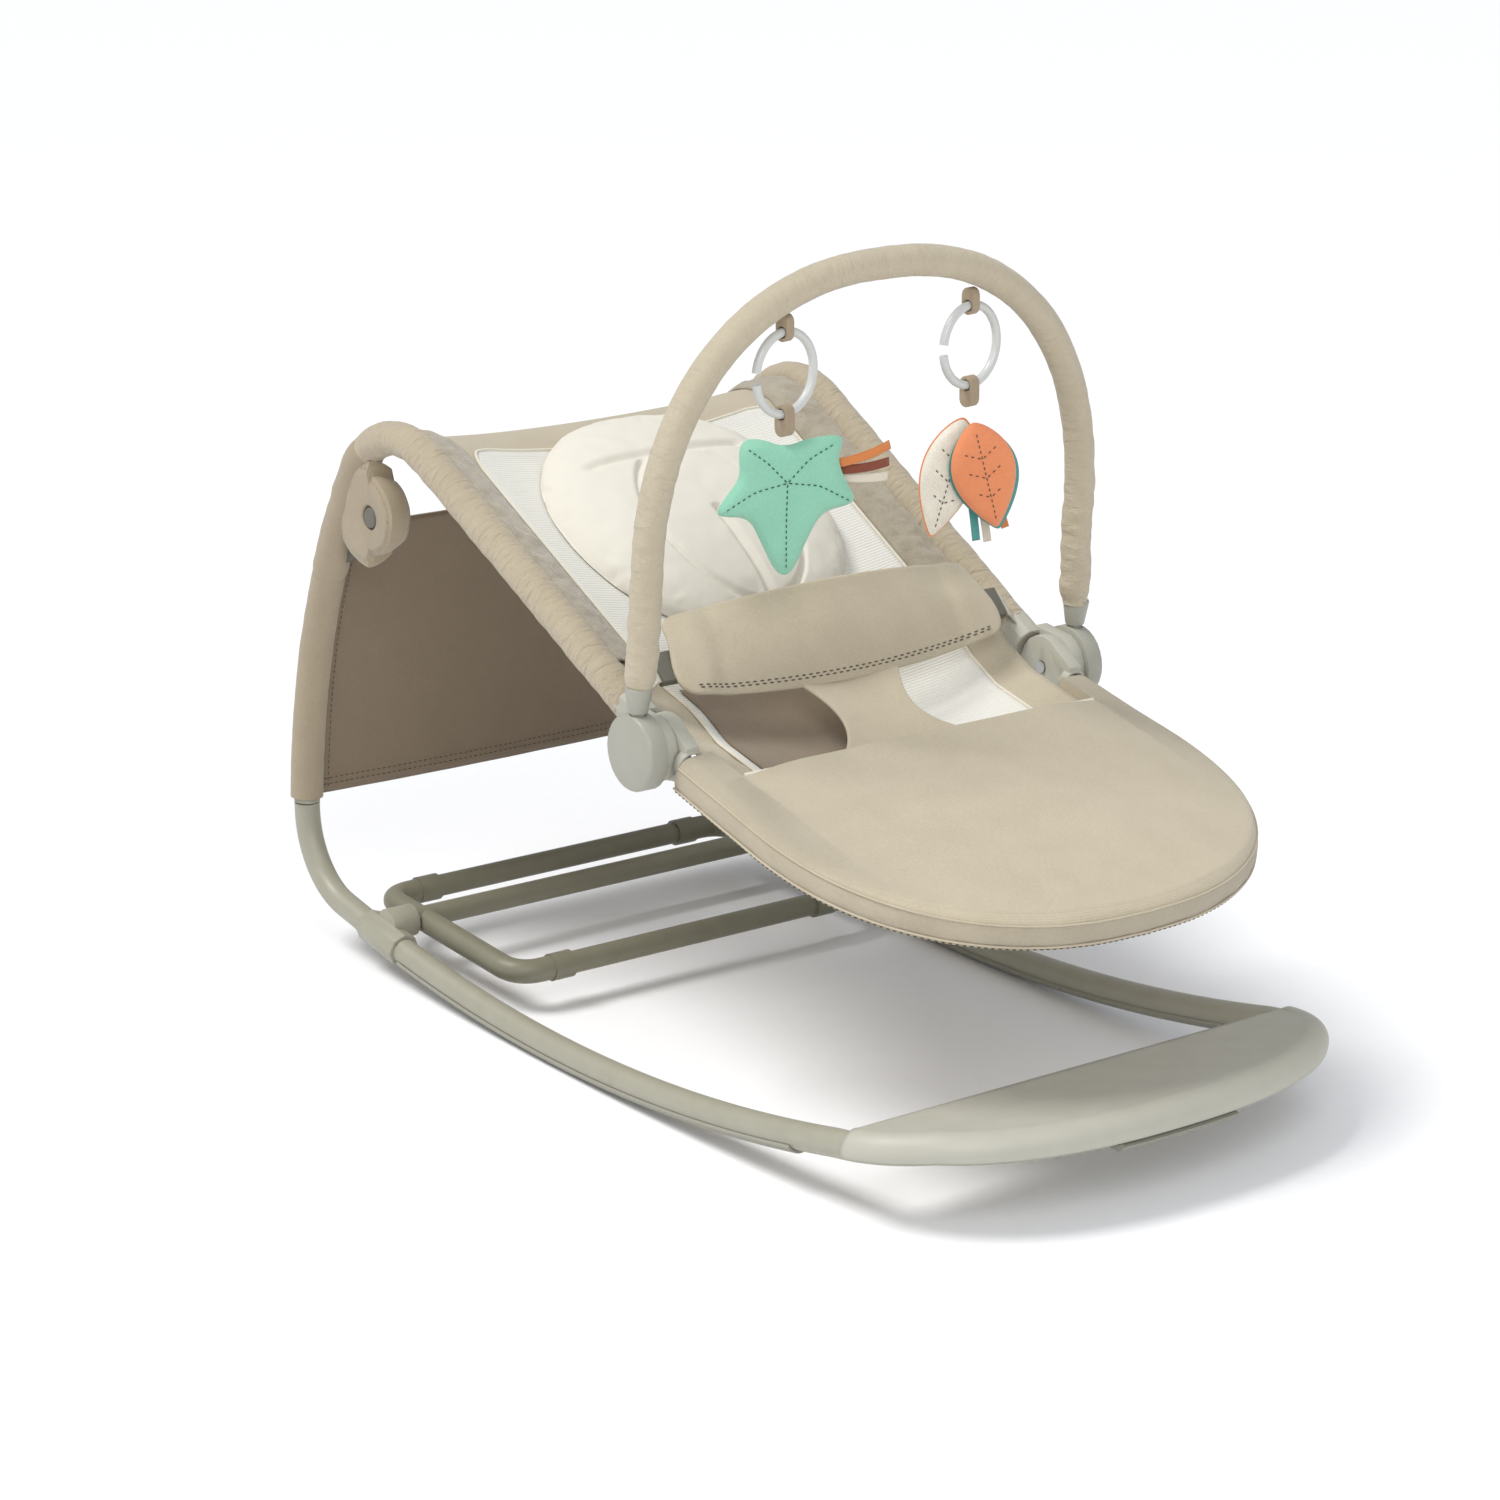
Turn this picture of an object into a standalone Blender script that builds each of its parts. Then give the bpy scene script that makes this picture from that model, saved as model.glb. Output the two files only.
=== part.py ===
"""Bouncer seat with a rocking base, a flip-over stand, a sling seat, a leg rest and a toy arch.

Units are metres and +Z is up. The sitter faces -Y, and left means the -X side.
Each moving group hangs from an empty on its joint's axis.
"""
import math

import bmesh
import bpy
from mathutils import Matrix, Vector

# ---------------------------------------------------------------- driving dimensions
CLEARANCE = 0.0003
CUT = 0.010  # how far a cutter runs past the face it cuts

# Floor loop: runners, front bow and rear bends of one tube
LOOP_RADIUS = 0.011
LOOP_HALF_WIDTH = 0.215
RUNNER_LOW_Y = 0.056
RUNNER_LOW_Z = 0.0135
RUNNER_CURVE = 0.295
RUNNER_STEP = 0.05
RUNNER_END = 0.345
BOW_BACK_Y = -0.314
BOW_FRONT_Y = -0.4411
BOW_SLOPE = 0.16
BOW_TOP_Z = 0.0665
BOW_EXPONENT = 2.4
REAR_BEND_Y = 0.370
REAR_BEND_Z = 0.1155
REAR_BEND_RADIUS = 0.072
REAR_BEND_TURN = math.radians(79.5)
SLIP_JOINT_Z = 0.1215

# Seat frame: upright, top bend and rail follow one line from the slip joint to the hub
FRAME_TUBE_RADIUS = 0.0112
SLEEVE_RADIUS = 0.0135
SLEEVE_WALL = 0.0019
UPRIGHT_ARC_RADIUS = 0.605
UPRIGHT_ARC_TURN = math.radians(27)
UPRIGHT_STRAIGHT = 0.031
TOP_BEND_RADIUS = 0.080
UPRIGHT_END = 0.250
RAIL_START = 0.318
COLLAR_LENGTH = 0.026
COLLAR_RADIUS = 0.0148
FRAME_HUB_HALF_WIDTH = 0.190

# Fold joint
FOLD_Y = 0.3225
FOLD_Z = 0.3977
FOLD_LUG_RADIUS = 0.022
FOLD_INNER_X = 0.196
FOLD_MIDDLE_X = 0.2045
FOLD_OUTER_X = 0.213
FOLD_PIN_RADIUS = 0.004
BUTTON_RADIUS = 0.009
BUTTON_POCKET_X = 0.2065
BUTTON_FACE_X = 0.2168
BUTTON_TRAVEL = 0.004

# Hub, which joins the rail, the leg rest and the toy arch
HUB_Y = -0.064
HUB_Z = 0.2917
HUB_RADIUS = 0.026
HUB_INNER_X = 0.184
HUB_MIDDLE_X = 0.1963
HUB_OUTER_X = 0.2083
HUB_PIN_RADIUS = 0.005
DISC_RADIUS = 0.0305
DISC_FACE_X = 0.225
SOCKET_START = 0.0275
SOCKET_LENGTH = 0.025

# Leg rest
LEG_SLOPE = math.radians(12.5)
LEG_TUBE_RADIUS = 0.009
LEG_TUBE_FRONT = 0.336
LEG_TUBE_EXPONENT = 2.3
LEG_PAD_HALF_WIDTH = 0.2075
LEG_PAD_BACK = 0.036
LEG_PAD_SEAM = 0.078
LEG_PAD_SEAM_HALF_WIDTH = 0.174
LEG_PAD_CURVE_START = 0.150
LEG_PAD_FRONT = 0.355
LEG_PAD_THICKNESS = 0.026

# Stand
STAND_Y = 0.314
STAND_Z = 0.0445
STAND_BAR_RADIUS = 0.0095
STAND_FRONT_BAR = (-0.1455, -0.0105)
STAND_REAR_BAR = (0.062, 0.0)
STAND_SOCKET_RADIUS = 0.0118
STAND_HUB_RADIUS = 0.0155
STAND_END_INNER_X = 0.171
STAND_END_OUTER_X = 0.187
STAND_SOCKET_INNER_X = 0.130
TEE_INNER_X = 0.190
CROSSBAR_HALF_LENGTH = 0.196

# Toy arch, drawn in a plane through the hub axis
ARCH_TILT = math.radians(3.5)
ARCH_BASE_X = 0.2168
ARCH_HALF_WIDTH = 0.2125
ARCH_BEND_START = 0.130
ARCH_APEX = 0.356
ARCH_EXPONENT = 2.3
ARCH_ROD_RADIUS = 0.004
ARCH_SLEEVE_RADIUS = 0.0122
ARCH_SOCKET_RADIUS = 0.0062
RING_RADIUS = 0.0315
RING_SECTION_RADIUS = 0.0035
RING_PLAY = 0.0012
RING_X = 0.090
RING_Y = -0.081
RING_Z = 0.572
RING_TURN = math.radians(10)
TOY_TURN = math.radians(-25)

# Fabric
FABRIC = 0.003
SEAT_SAG = 0.030
SEAM_GAP = 0.0119

SIDES = {"left": -1, "right": 1}
ROUND = 16

COLOURS = {
    "tube": ((0.376, 0.361, 0.291), 0.42, 0.0),
    "stand_tube": ((0.160, 0.150, 0.103), 0.45, 0.0),
    "moulded": ((0.440, 0.434, 0.370), 0.5, 0.0),
    "dark_moulded": ((0.150, 0.145, 0.115), 0.55, 0.0),
    "steel": ((0.45, 0.45, 0.44), 0.35, 1.0),
    "rubber": ((0.30, 0.29, 0.24), 0.8, 0.0),
    "taupe": ((0.430, 0.370, 0.270), 0.9, 0.0),
    "shade": ((0.200, 0.160, 0.110), 0.9, 0.0),
    "ivory": ((0.735, 0.700, 0.610), 0.95, 0.0),
    "green": ((0.250, 0.540, 0.375), 0.9, 0.0),
    "orange": ((0.730, 0.255, 0.120), 0.9, 0.0),
    "cream": ((0.680, 0.640, 0.540), 0.9, 0.0),
    "ring": ((0.560, 0.570, 0.550), 0.4, 0.0),
}


# ---------------------------------------------------------------- scene helpers
def clear_scene():
    """Remove every object, so that the model starts from an empty scene."""
    for item in list(bpy.data.objects):
        bpy.data.objects.remove(item, do_unlink=True)


def new_collection(name):
    """Make a collection in the scene and return it."""
    collection = bpy.data.collections.new(name)
    bpy.context.scene.collection.children.link(collection)
    return collection


def new_material(name, kind):
    """Make a Principled material of one of the kinds in COLOURS."""
    colour, roughness, metallic = COLOURS[kind]
    material = bpy.data.materials.new(name)
    material.use_nodes = True
    shader = material.node_tree.nodes["Principled BSDF"]
    shader.inputs["Base Color"].default_value = (*colour, 1.0)
    shader.inputs["Roughness"].default_value = roughness
    shader.inputs["Metallic"].default_value = metallic
    return material


def axis_empty(name, place, parent=None):
    """Make an empty at a joint's axis, at a place in world coordinates."""
    empty = bpy.data.objects.new(name, None)
    parts.objects.link(empty)
    empty.empty_display_size = 0.03
    hang(empty, parent)
    empty.matrix_world = Matrix.Translation(place)
    bpy.context.view_layer.update()
    return empty


def hang(piece, parent):
    """Parent a piece and keep its place in the world."""
    if parent is None:
        return
    piece.parent = parent
    piece.matrix_parent_inverse = parent.matrix_world.inverted()


def finish(piece, name, kind, parent):
    """Name a piece, give it its own material and hang it from its group's empty."""
    piece.name = name
    piece.data.name = name
    piece.data.materials.clear()
    piece.data.materials.append(new_material(name, kind))
    hang(piece, parent)
    if piece.type == "MESH":
        piece.data.shade_smooth()
        piece.data.set_sharp_from_angle(angle=math.radians(35))
    return piece


def add_mesh(mesh_data, matrix=None):
    """Put a bmesh in a new object and return the object."""
    mesh = bpy.data.meshes.new("piece")
    mesh_data.to_mesh(mesh)
    mesh_data.free()
    piece = bpy.data.objects.new("piece", mesh)
    parts.objects.link(piece)
    if matrix is not None:
        piece.matrix_world = matrix
    return piece


# ---------------------------------------------------------------- shape helpers
def tube(points, radius, resolution=2, caps=True):
    """A round tube along a list of points."""
    curve = bpy.data.curves.new("tube", "CURVE")
    curve.dimensions = "3D"
    curve.bevel_depth = radius
    curve.bevel_resolution = resolution
    curve.use_fill_caps = caps
    spline = curve.splines.new("POLY")
    spline.points.add(len(points) - 1)
    for point, place in zip(spline.points, points):
        point.co = (*place, 1.0)
    piece = bpy.data.objects.new("tube", curve)
    parts.objects.link(piece)
    return piece


def hollow_tube(points, radius, wall, resolution=2):
    """A sleeve along a list of points, with its wall inside the given radius."""
    piece = tube(points, radius, resolution, caps=False)
    add_wall(piece, wall, -1.0)
    return piece


def add_wall(piece, thickness, offset):
    """Thicken an open surface."""
    modifier = piece.modifiers.new("wall", "SOLIDIFY")
    modifier.thickness = thickness
    modifier.offset = offset


def soften(piece, width, segments=2):
    """Round the sharp edges of a piece."""
    modifier = piece.modifiers.new("edges", "BEVEL")
    modifier.width = width
    modifier.segments = segments
    modifier.limit_method = "ANGLE"
    modifier.angle_limit = math.radians(40)


def cylinder(start, end, radius, sides=ROUND):
    """A round bar between two points."""
    start = Vector(start)
    end = Vector(end)
    bar = bmesh.new()
    bmesh.ops.create_cone(bar, cap_ends=True, segments=sides, radius1=radius, radius2=radius,
                          depth=(end - start).length)
    turn = (end - start).to_track_quat("Z", "Y").to_matrix().to_4x4()
    return add_mesh(bar, Matrix.Translation((start + end) / 2) @ turn)


def block(centre, size, turn=None):
    """A box of the given size, turned about its centre."""
    box = bmesh.new()
    bmesh.ops.create_cube(box, size=1.0, matrix=Matrix.Diagonal((*size, 1.0)))
    turn = Matrix.Identity(4) if turn is None else turn
    return add_mesh(box, Matrix.Translation(centre) @ turn)


def turned(profile, matrix, sides=ROUND):
    """A turned solid: profile is (radius, height) pairs from axis to axis."""
    chain = bmesh.new()
    verts = [chain.verts.new((radius, 0.0, height)) for radius, height in profile]
    for first, second in zip(verts, verts[1:]):
        chain.edges.new((first, second))
    piece = add_mesh(chain, matrix)
    modifier = piece.modifiers.new("turn", "SCREW")
    modifier.steps = sides
    modifier.render_steps = sides
    modifier.use_merge_vertices = True
    modifier.merge_threshold = 0.0001
    return piece


def plate(outlines, thickness, matrix):
    """A flat plate from closed outlines in its own XY plane, centred on that plane."""
    curve = bpy.data.curves.new("plate", "CURVE")
    curve.dimensions = "2D"
    curve.fill_mode = "BOTH"
    curve.extrude = thickness / 2
    for outline in outlines:
        spline = curve.splines.new("POLY")
        spline.points.add(len(outline) - 1)
        for point, (across, along) in zip(spline.points, outline):
            point.co = (across, along, 0.0, 1.0)
        spline.use_cyclic_u = True
    piece = bpy.data.objects.new("plate", curve)
    parts.objects.link(piece)
    piece.matrix_world = matrix
    return piece


def side_plate(outline, low_x, high_x):
    """A plate whose outline is (y, z) pairs, between two distances along X."""
    frame = Matrix(((0, 0, 1, (low_x + high_x) / 2), (1, 0, 0, 0), (0, 1, 0, 0), (0, 0, 0, 1)))
    return plate([outline], abs(high_x - low_x), frame)


def sheet(columns, rows, place, thickness, offset=0.0):
    """A curved sheet: place(across, along) gives a point for two shares from 0 to 1."""
    grid = bmesh.new()
    bmesh.ops.create_grid(grid, x_segments=columns, y_segments=rows, size=0.5)
    for vert in grid.verts:
        vert.co = Vector(place(vert.co.x + 0.5, vert.co.y + 0.5))
    piece = add_mesh(grid)
    add_wall(piece, thickness, offset)
    return piece


def as_mesh(piece):
    """Turn a piece with its modifiers into a plain welded mesh object in world coordinates."""
    bpy.context.view_layer.update()
    evaluated = piece.evaluated_get(bpy.context.evaluated_depsgraph_get())
    mesh = bpy.data.meshes.new_from_object(evaluated)
    mesh.transform(piece.matrix_world)
    welded = bmesh.new()
    welded.from_mesh(mesh)
    bmesh.ops.remove_doubles(welded, verts=welded.verts, dist=0.00001)
    bmesh.ops.recalc_face_normals(welded, faces=welded.faces)
    bpy.data.meshes.remove(mesh)
    bpy.data.objects.remove(piece, do_unlink=True)
    return add_mesh(welded)


def combine(operation, first, *others):
    """Join or cut meshes with EXACT Booleans, and return one plain mesh object."""
    result = as_mesh(first)
    for other in others:
        operand = as_mesh(other)
        modifier = result.modifiers.new("boolean", "BOOLEAN")
        modifier.operation = operation
        modifier.object = operand
        result = as_mesh(result)
        bpy.data.objects.remove(operand, do_unlink=True)
    return result


def arc(centre, radius, start, end, count):
    """Points on an arc in a plane, from one angle to another in degrees."""
    points = []
    for index in range(count + 1):
        angle = math.radians(start + (end - start) * index / count)
        points.append((centre[0] + radius * math.cos(angle), centre[1] + radius * math.sin(angle)))
    return points


def superellipse(half_width, depth, exponent, count):
    """Points (across, out) of a flat-sided bow from +half_width round to -half_width."""
    points = []
    for index in range(count + 1):
        angle = math.pi * index / count
        across = math.cos(angle)
        out = max(math.sin(angle), 0.0)
        points.append((half_width * math.copysign(abs(across) ** (2 / exponent), across),
                       depth * out ** (2 / exponent)))
    return points


# ---------------------------------------------------------------- lines that the parts follow
def runner_z(y):
    """Height of the floor loop's centre line."""
    height = RUNNER_LOW_Z + RUNNER_CURVE * (max(y, BOW_BACK_Y) - RUNNER_LOW_Y) ** 2
    return min(height + BOW_SLOPE * max(BOW_BACK_Y - y, 0.0), BOW_TOP_Z)


def bow_points(count):
    """Centre line of the front bow, from its right end round to its left end."""
    return [(x, BOW_BACK_Y - out, runner_z(BOW_BACK_Y - out))
            for x, out in superellipse(LOOP_HALF_WIDTH, BOW_BACK_Y - BOW_FRONT_Y, BOW_EXPONENT, count)]


def runner_points(side, start, end):
    """Centre line of one runner, forwards between two distances along Y, on the shared stops."""
    stops = [RUNNER_LOW_Y + RUNNER_STEP * (index + 0.5) for index in range(-8, 8)]
    inner = sorted((stop for stop in stops if end + 0.004 < stop < start - 0.004), reverse=True)
    return [(side * LOOP_HALF_WIDTH, y, runner_z(y)) for y in [start] + inner + [end]]


def rear_bend_points(side, count):
    """Centre line of one rear bend, from the slip joint down to the runner."""
    points = [(side * LOOP_HALF_WIDTH, REAR_BEND_Y + REAR_BEND_RADIUS, SLIP_JOINT_Z)]
    for y, z in arc((REAR_BEND_Y, REAR_BEND_Z), REAR_BEND_RADIUS, 0, -math.degrees(REAR_BEND_TURN), count):
        points.append((side * LOOP_HALF_WIDTH, y, z))
    return points


def frame_stretches():
    """Radius and length of each stretch of the seat frame's line; radius 0 is straight."""
    heading = math.pi / 2 + UPRIGHT_ARC_TURN
    bend_start_y = (REAR_BEND_Y + REAR_BEND_RADIUS
                    - UPRIGHT_ARC_RADIUS * (1 - math.cos(UPRIGHT_ARC_TURN))
                    + UPRIGHT_STRAIGHT * math.cos(heading))
    bend_start_z = (SLIP_JOINT_Z + UPRIGHT_ARC_RADIUS * math.sin(UPRIGHT_ARC_TURN)
                    + UPRIGHT_STRAIGHT * math.sin(heading))
    centre_y = bend_start_y - TOP_BEND_RADIUS * math.sin(heading)
    centre_z = bend_start_z + TOP_BEND_RADIUS * math.cos(heading)
    to_hub = Vector((HUB_Y - centre_y, HUB_Z - centre_z))
    end_heading = (math.atan2(to_hub.y, to_hub.x) % math.tau
                   + math.asin(TOP_BEND_RADIUS / to_hub.length))
    return ((UPRIGHT_ARC_RADIUS, UPRIGHT_ARC_RADIUS * UPRIGHT_ARC_TURN),
            (0.0, UPRIGHT_STRAIGHT),
            (TOP_BEND_RADIUS, TOP_BEND_RADIUS * (end_heading - heading)),
            (0.0, math.sqrt(to_hub.length_squared - TOP_BEND_RADIUS ** 2)))


STRETCHES = frame_stretches()
FRAME_LENGTH = sum(length for _, length in STRETCHES)


def frame_point(distance):
    """Y, Z and heading of the seat frame's line at a distance from the slip joint."""
    y = REAR_BEND_Y + REAR_BEND_RADIUS
    z = SLIP_JOINT_Z
    heading = math.pi / 2
    for radius, length in STRETCHES:
        step = min(distance, length)
        if radius > 0.0:
            turn = step / radius
            y += radius * (math.sin(heading + turn) - math.sin(heading))
            z += radius * (math.cos(heading) - math.cos(heading + turn))
            heading += turn
        else:
            y += step * math.cos(heading)
            z += step * math.sin(heading)
        distance -= step
    return y, z, heading


def frame_x(distance):
    """Distance of the frame's tubes from the middle plane."""
    share = distance / FRAME_LENGTH
    return LOOP_HALF_WIDTH + (FRAME_HUB_HALF_WIDTH - LOOP_HALF_WIDTH) * share


def frame_stops():
    """Distances along the frame's line at which every tube and bore on it has a corner."""
    stops = []
    begin = 0.0
    for radius, length in STRETCHES:
        steps = 1 if radius == 0.0 else 9
        stops += [begin + length * index / steps for index in range(steps)]
        begin += length
    return stops + [begin]


def frame_points(side, start, end):
    """Centre line of an upright or rail between two distances along it."""
    inner = [stop for stop in frame_stops() if start + 0.003 < stop < end - 0.003]
    points = []
    for distance in [start] + inner + [end]:
        y, z, _ = frame_point(distance)
        points.append((side * frame_x(distance), y, z))
    return points


def leg_point(x, forward, up=0.0):
    """A point of the leg rest, at a distance forward from the hub axis."""
    return (x, HUB_Y - forward * math.cos(LEG_SLOPE) - up * math.sin(LEG_SLOPE),
            HUB_Z - forward * math.sin(LEG_SLOPE) + up * math.cos(LEG_SLOPE))


def arch_point(x, out, ahead=0.0):
    """A point of the toy arch's plane, at a distance out from the hub axis."""
    return (x, HUB_Y - out * math.sin(ARCH_TILT) - ahead * math.cos(ARCH_TILT),
            HUB_Z + out * math.cos(ARCH_TILT) - ahead * math.sin(ARCH_TILT))


def arch_points(start, count):
    """Centre line of the toy arch from the right leg over the top to the left leg."""
    leg = [(ARCH_BASE_X + (ARCH_HALF_WIDTH - ARCH_BASE_X) * share,
            start + (ARCH_BEND_START - start) * share) for share in (0.0, 0.5)]
    bow = superellipse(ARCH_HALF_WIDTH, ARCH_APEX - ARCH_BEND_START, ARCH_EXPONENT, count)
    line = leg + [(x, ARCH_BEND_START + out) for x, out in bow] + [(-x, out) for x, out in reversed(leg)]
    return [arch_point(x, out) for x, out in line]


def wrap_sheet(line, inner_radius, wall, start, end, columns):
    """A channel that hugs a tube: the arc from start to end degrees, measured from straight down."""
    def place(across, along):
        index = min(int(along * (len(line) - 1) + 0.5), len(line) - 1)
        before = Vector(line[max(index - 1, 0)])
        after = Vector(line[min(index + 1, len(line) - 1)])
        ahead = (after - before).normalized()
        outward = ahead.cross(Vector((0, 0, 1))).normalized()
        down = ahead.cross(outward).normalized()
        down = down if down.z < 0 else -down
        angle = math.radians(start + (end - start) * across)
        return Vector(line[index]) + inner_radius * (math.cos(angle) * down + math.sin(angle) * outward)
    return sheet(columns, len(line) - 1, place, wall, -1.0)


# ---------------------------------------------------------------- base
def build_base(base):
    """Floor loop, uprights, footplate, rocker strips, crossbar and its tee connectors."""
    right = rear_bend_points(1, 6) + runner_points(1, RUNNER_END, BOW_BACK_Y + 0.04)
    left = [(-x, y, z) for x, y, z in reversed(right)]
    finish(tube(right + bow_points(18) + left, LOOP_RADIUS), "floor_loop_tube", "tube", base)

    for word, side in SIDES.items():
        finish(tube(frame_points(side, 0.001, UPRIGHT_END), FRAME_TUBE_RADIUS),
               f"{word}_upright_tube", "tube", base)
        pin = cylinder((side * FOLD_INNER_X, FOLD_Y, FOLD_Z),
                       (side * (BUTTON_POCKET_X - 0.0008), FOLD_Y, FOLD_Z), FOLD_PIN_RADIUS)
        finish(pin, f"{word}_joint_pin", "steel", base)
        build_rocker_strip(word, side, base)
        build_tee(word, side, base)
        build_fold_joint(word, side, base)
    build_footplate(base)
    finish(cylinder((-CROSSBAR_HALF_LENGTH, STAND_Y, STAND_Z), (CROSSBAR_HALF_LENGTH, STAND_Y, STAND_Z),
                    STAND_BAR_RADIUS), "crossbar_tube", "stand_tube", base)
    build_rear_cover(base)


def build_rocker_strip(word, side, base):
    """Grip strip under a runner, hugging the lower part of the tube."""
    facets = 5
    reach = 65
    line = runner_points(side, RUNNER_LOW_Y + 4.5 * RUNNER_STEP, RUNNER_LOW_Y - 6.5 * RUNNER_STEP)
    inner_radius = LOOP_RADIUS + 0.0005
    outer_radius = runner_z(RUNNER_LOW_Y + RUNNER_STEP / 2) / math.cos(math.radians(reach / facets))
    strip = wrap_sheet(line, inner_radius, outer_radius - inner_radius, -reach, reach, facets)
    finish(strip, f"{word}_rocker_strip", "rubber", base)


def build_tee(word, side, base):
    """Tee connector that clamps the crossbar to a runner."""
    half_length = 0.027
    bore_radius = LOOP_RADIUS + CLEARANCE
    bore = runner_points(side, RUNNER_END, STAND_Y - half_length - 0.02)
    clamp = runner_points(side, STAND_Y + half_length, STAND_Y - half_length)
    branch = cylinder((side * TEE_INNER_X, STAND_Y, STAND_Z), (side * LOOP_HALF_WIDTH, STAND_Y, STAND_Z), 0.0138)
    body = combine("UNION", tube(clamp, 0.0145), branch)
    socket = cylinder((side * (TEE_INNER_X - 0.01), STAND_Y, STAND_Z),
                      (side * (CROSSBAR_HALF_LENGTH + CLEARANCE), STAND_Y, STAND_Z),
                      STAND_BAR_RADIUS + CLEARANCE)
    tee = combine("DIFFERENCE", body, tube(bore, bore_radius), socket)
    finish(tee, f"{word}_tee_connector", "moulded", base)


def build_footplate(base):
    """Moulded plate that fills the bow and clips over the tube."""
    back_y = -0.332
    rim_radius = LOOP_RADIUS + 0.0010
    wall = 0.0024
    web_rows = 2
    rows = 8
    inner_turn = math.radians(-25)
    outer_turn = math.radians(112)
    line = [Vector(point) for point in bow_points(20) if point[1] < back_y - 0.002]

    def place(across, along):
        index = round(across * (len(line) - 1))
        row = round(along * rows)
        centre = line[index]
        ahead = (line[min(index + 1, len(line) - 1)] - line[max(index - 1, 0)]).normalized()
        outward = ahead.cross(Vector((0, 0, 1))).normalized()
        outward = outward if outward.y < 0 else -outward
        share = max(row - web_rows, 0) / (rows - web_rows)
        angle = inner_turn + (outer_turn - inner_turn) * share
        lift = Vector((0, 0, math.cos(angle))) + math.sin(angle) * outward
        point = centre + rim_radius * lift
        if row < web_rows:
            rest = Vector((point.x, back_y, runner_z(back_y) + point.z - centre.z))
            point = rest.lerp(point, row / web_rows)
        return point
    finish(sheet(len(line) - 1, rows, place, wall, 1.0), "footplate", "moulded", base)

    middle = [point for point in bow_points(36) if abs(point[0]) < 0.056]
    pad = wrap_sheet(middle, LOOP_RADIUS + 0.0010, 0.0040, -55, 55, 4)
    finish(pad, "front_grip_pad", "rubber", base)


def build_rear_cover(base):
    """Fabric panel between the uprights, with a sleeve round each."""
    end = UPRIGHT_END - COLLAR_LENGTH - 0.001

    def place(across, along):
        distance = 0.010 + (end - 0.004 - 0.010) * along
        y, z, _ = frame_point(distance)
        half = frame_x(distance) - SEAM_GAP
        return (half * (2 * across - 1), y, z)
    sleeves = [hollow_tube(frame_points(side, 0.004, end), SLEEVE_RADIUS, SLEEVE_WALL)
               for side in SIDES.values()]
    cover = combine("UNION", sheet(2, 6, place, FABRIC), *sleeves)
    finish(cover, "rear_cover", "shade", base)


def lug_outline(centre, target, radius):
    """A round lug with a tail that reaches to a target point."""
    direction = Vector(target) - Vector(centre)
    angle = math.degrees(math.atan2(direction.y, direction.x))
    points = arc(centre, radius, angle + 80, angle + 280, 10)
    across = Vector((-direction.y, direction.x)).normalized() * radius * 0.55
    tip = Vector(target)
    return points + [tuple(tip - across), tuple(tip + across)]


def build_fold_joint(word, side, base):
    """Fixed half of the joint that lets the seat frame recline on the upright."""
    middle = UPRIGHT_END - COLLAR_LENGTH / 2
    y, z, _ = frame_point(middle)
    collar = tube(frame_points(side, UPRIGHT_END - COLLAR_LENGTH, UPRIGHT_END - 0.0005), COLLAR_RADIUS, 3)
    lug = side_plate(lug_outline((FOLD_Y, FOLD_Z), (y, z), FOLD_LUG_RADIUS),
                     side * FOLD_INNER_X, side * FOLD_MIDDLE_X)
    bore = tube(frame_points(side, UPRIGHT_END - 2 * COLLAR_LENGTH, UPRIGHT_END + 0.010),
                FRAME_TUBE_RADIUS + CLEARANCE)
    hole = cylinder((side * (FOLD_INNER_X - CUT), FOLD_Y, FOLD_Z),
                    (side * (FOLD_OUTER_X + CUT), FOLD_Y, FOLD_Z), FOLD_PIN_RADIUS + 0.0002)
    housing = combine("DIFFERENCE", combine("UNION", collar, lug), bore, hole)
    finish(housing, f"{word}_joint_housing", "dark_moulded", base)


# ---------------------------------------------------------------- stand
def build_stand(stand):
    """Loop that hangs under the base and flips over to stop it rocking."""
    bars = {"front": STAND_FRONT_BAR, "rear": STAND_REAR_BAR}
    bar_end = STAND_SOCKET_INNER_X + 0.020
    for word, side in SIDES.items():
        axis = (STAND_Y, STAND_Z)
        front = (STAND_Y + STAND_FRONT_BAR[0], STAND_Z + STAND_FRONT_BAR[1])
        rear = (STAND_Y + STAND_REAR_BAR[0], STAND_Z + STAND_REAR_BAR[1])
        radius = STAND_SOCKET_RADIUS
        outline = arc(front, radius, 90, 270, 8) + arc(axis, STAND_HUB_RADIUS, 235, 305, 4)
        outline += arc(rear, radius, 270, 450, 8) + arc(axis, STAND_HUB_RADIUS, 55, 125, 4)
        solids = [side_plate(outline, side * STAND_END_INNER_X, side * STAND_END_OUTER_X)]
        cuts = [cylinder((side * 0.160, STAND_Y, STAND_Z), (side * 0.200, STAND_Y, STAND_Z),
                         STAND_BAR_RADIUS + CLEARANCE, 24)]
        for y, z in (front, rear):
            solids.append(cylinder((side * STAND_SOCKET_INNER_X, y, z), (side * 0.180, y, z), radius - 0.0001))
            cuts.append(cylinder((side * (STAND_SOCKET_INNER_X - 0.01), y, z),
                                 (side * (bar_end + CLEARANCE), y, z), STAND_BAR_RADIUS + 0.0002))
        end = combine("DIFFERENCE", combine("UNION", *solids), *cuts)
        finish(end, f"{word}_stand_end", "moulded", stand)
    for word, (ahead, up) in bars.items():
        y = STAND_Y + ahead
        z = STAND_Z + up
        finish(cylinder((-bar_end, y, z), (bar_end, y, z), STAND_BAR_RADIUS),
               f"stand_{word}_bar", "stand_tube", stand)


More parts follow.
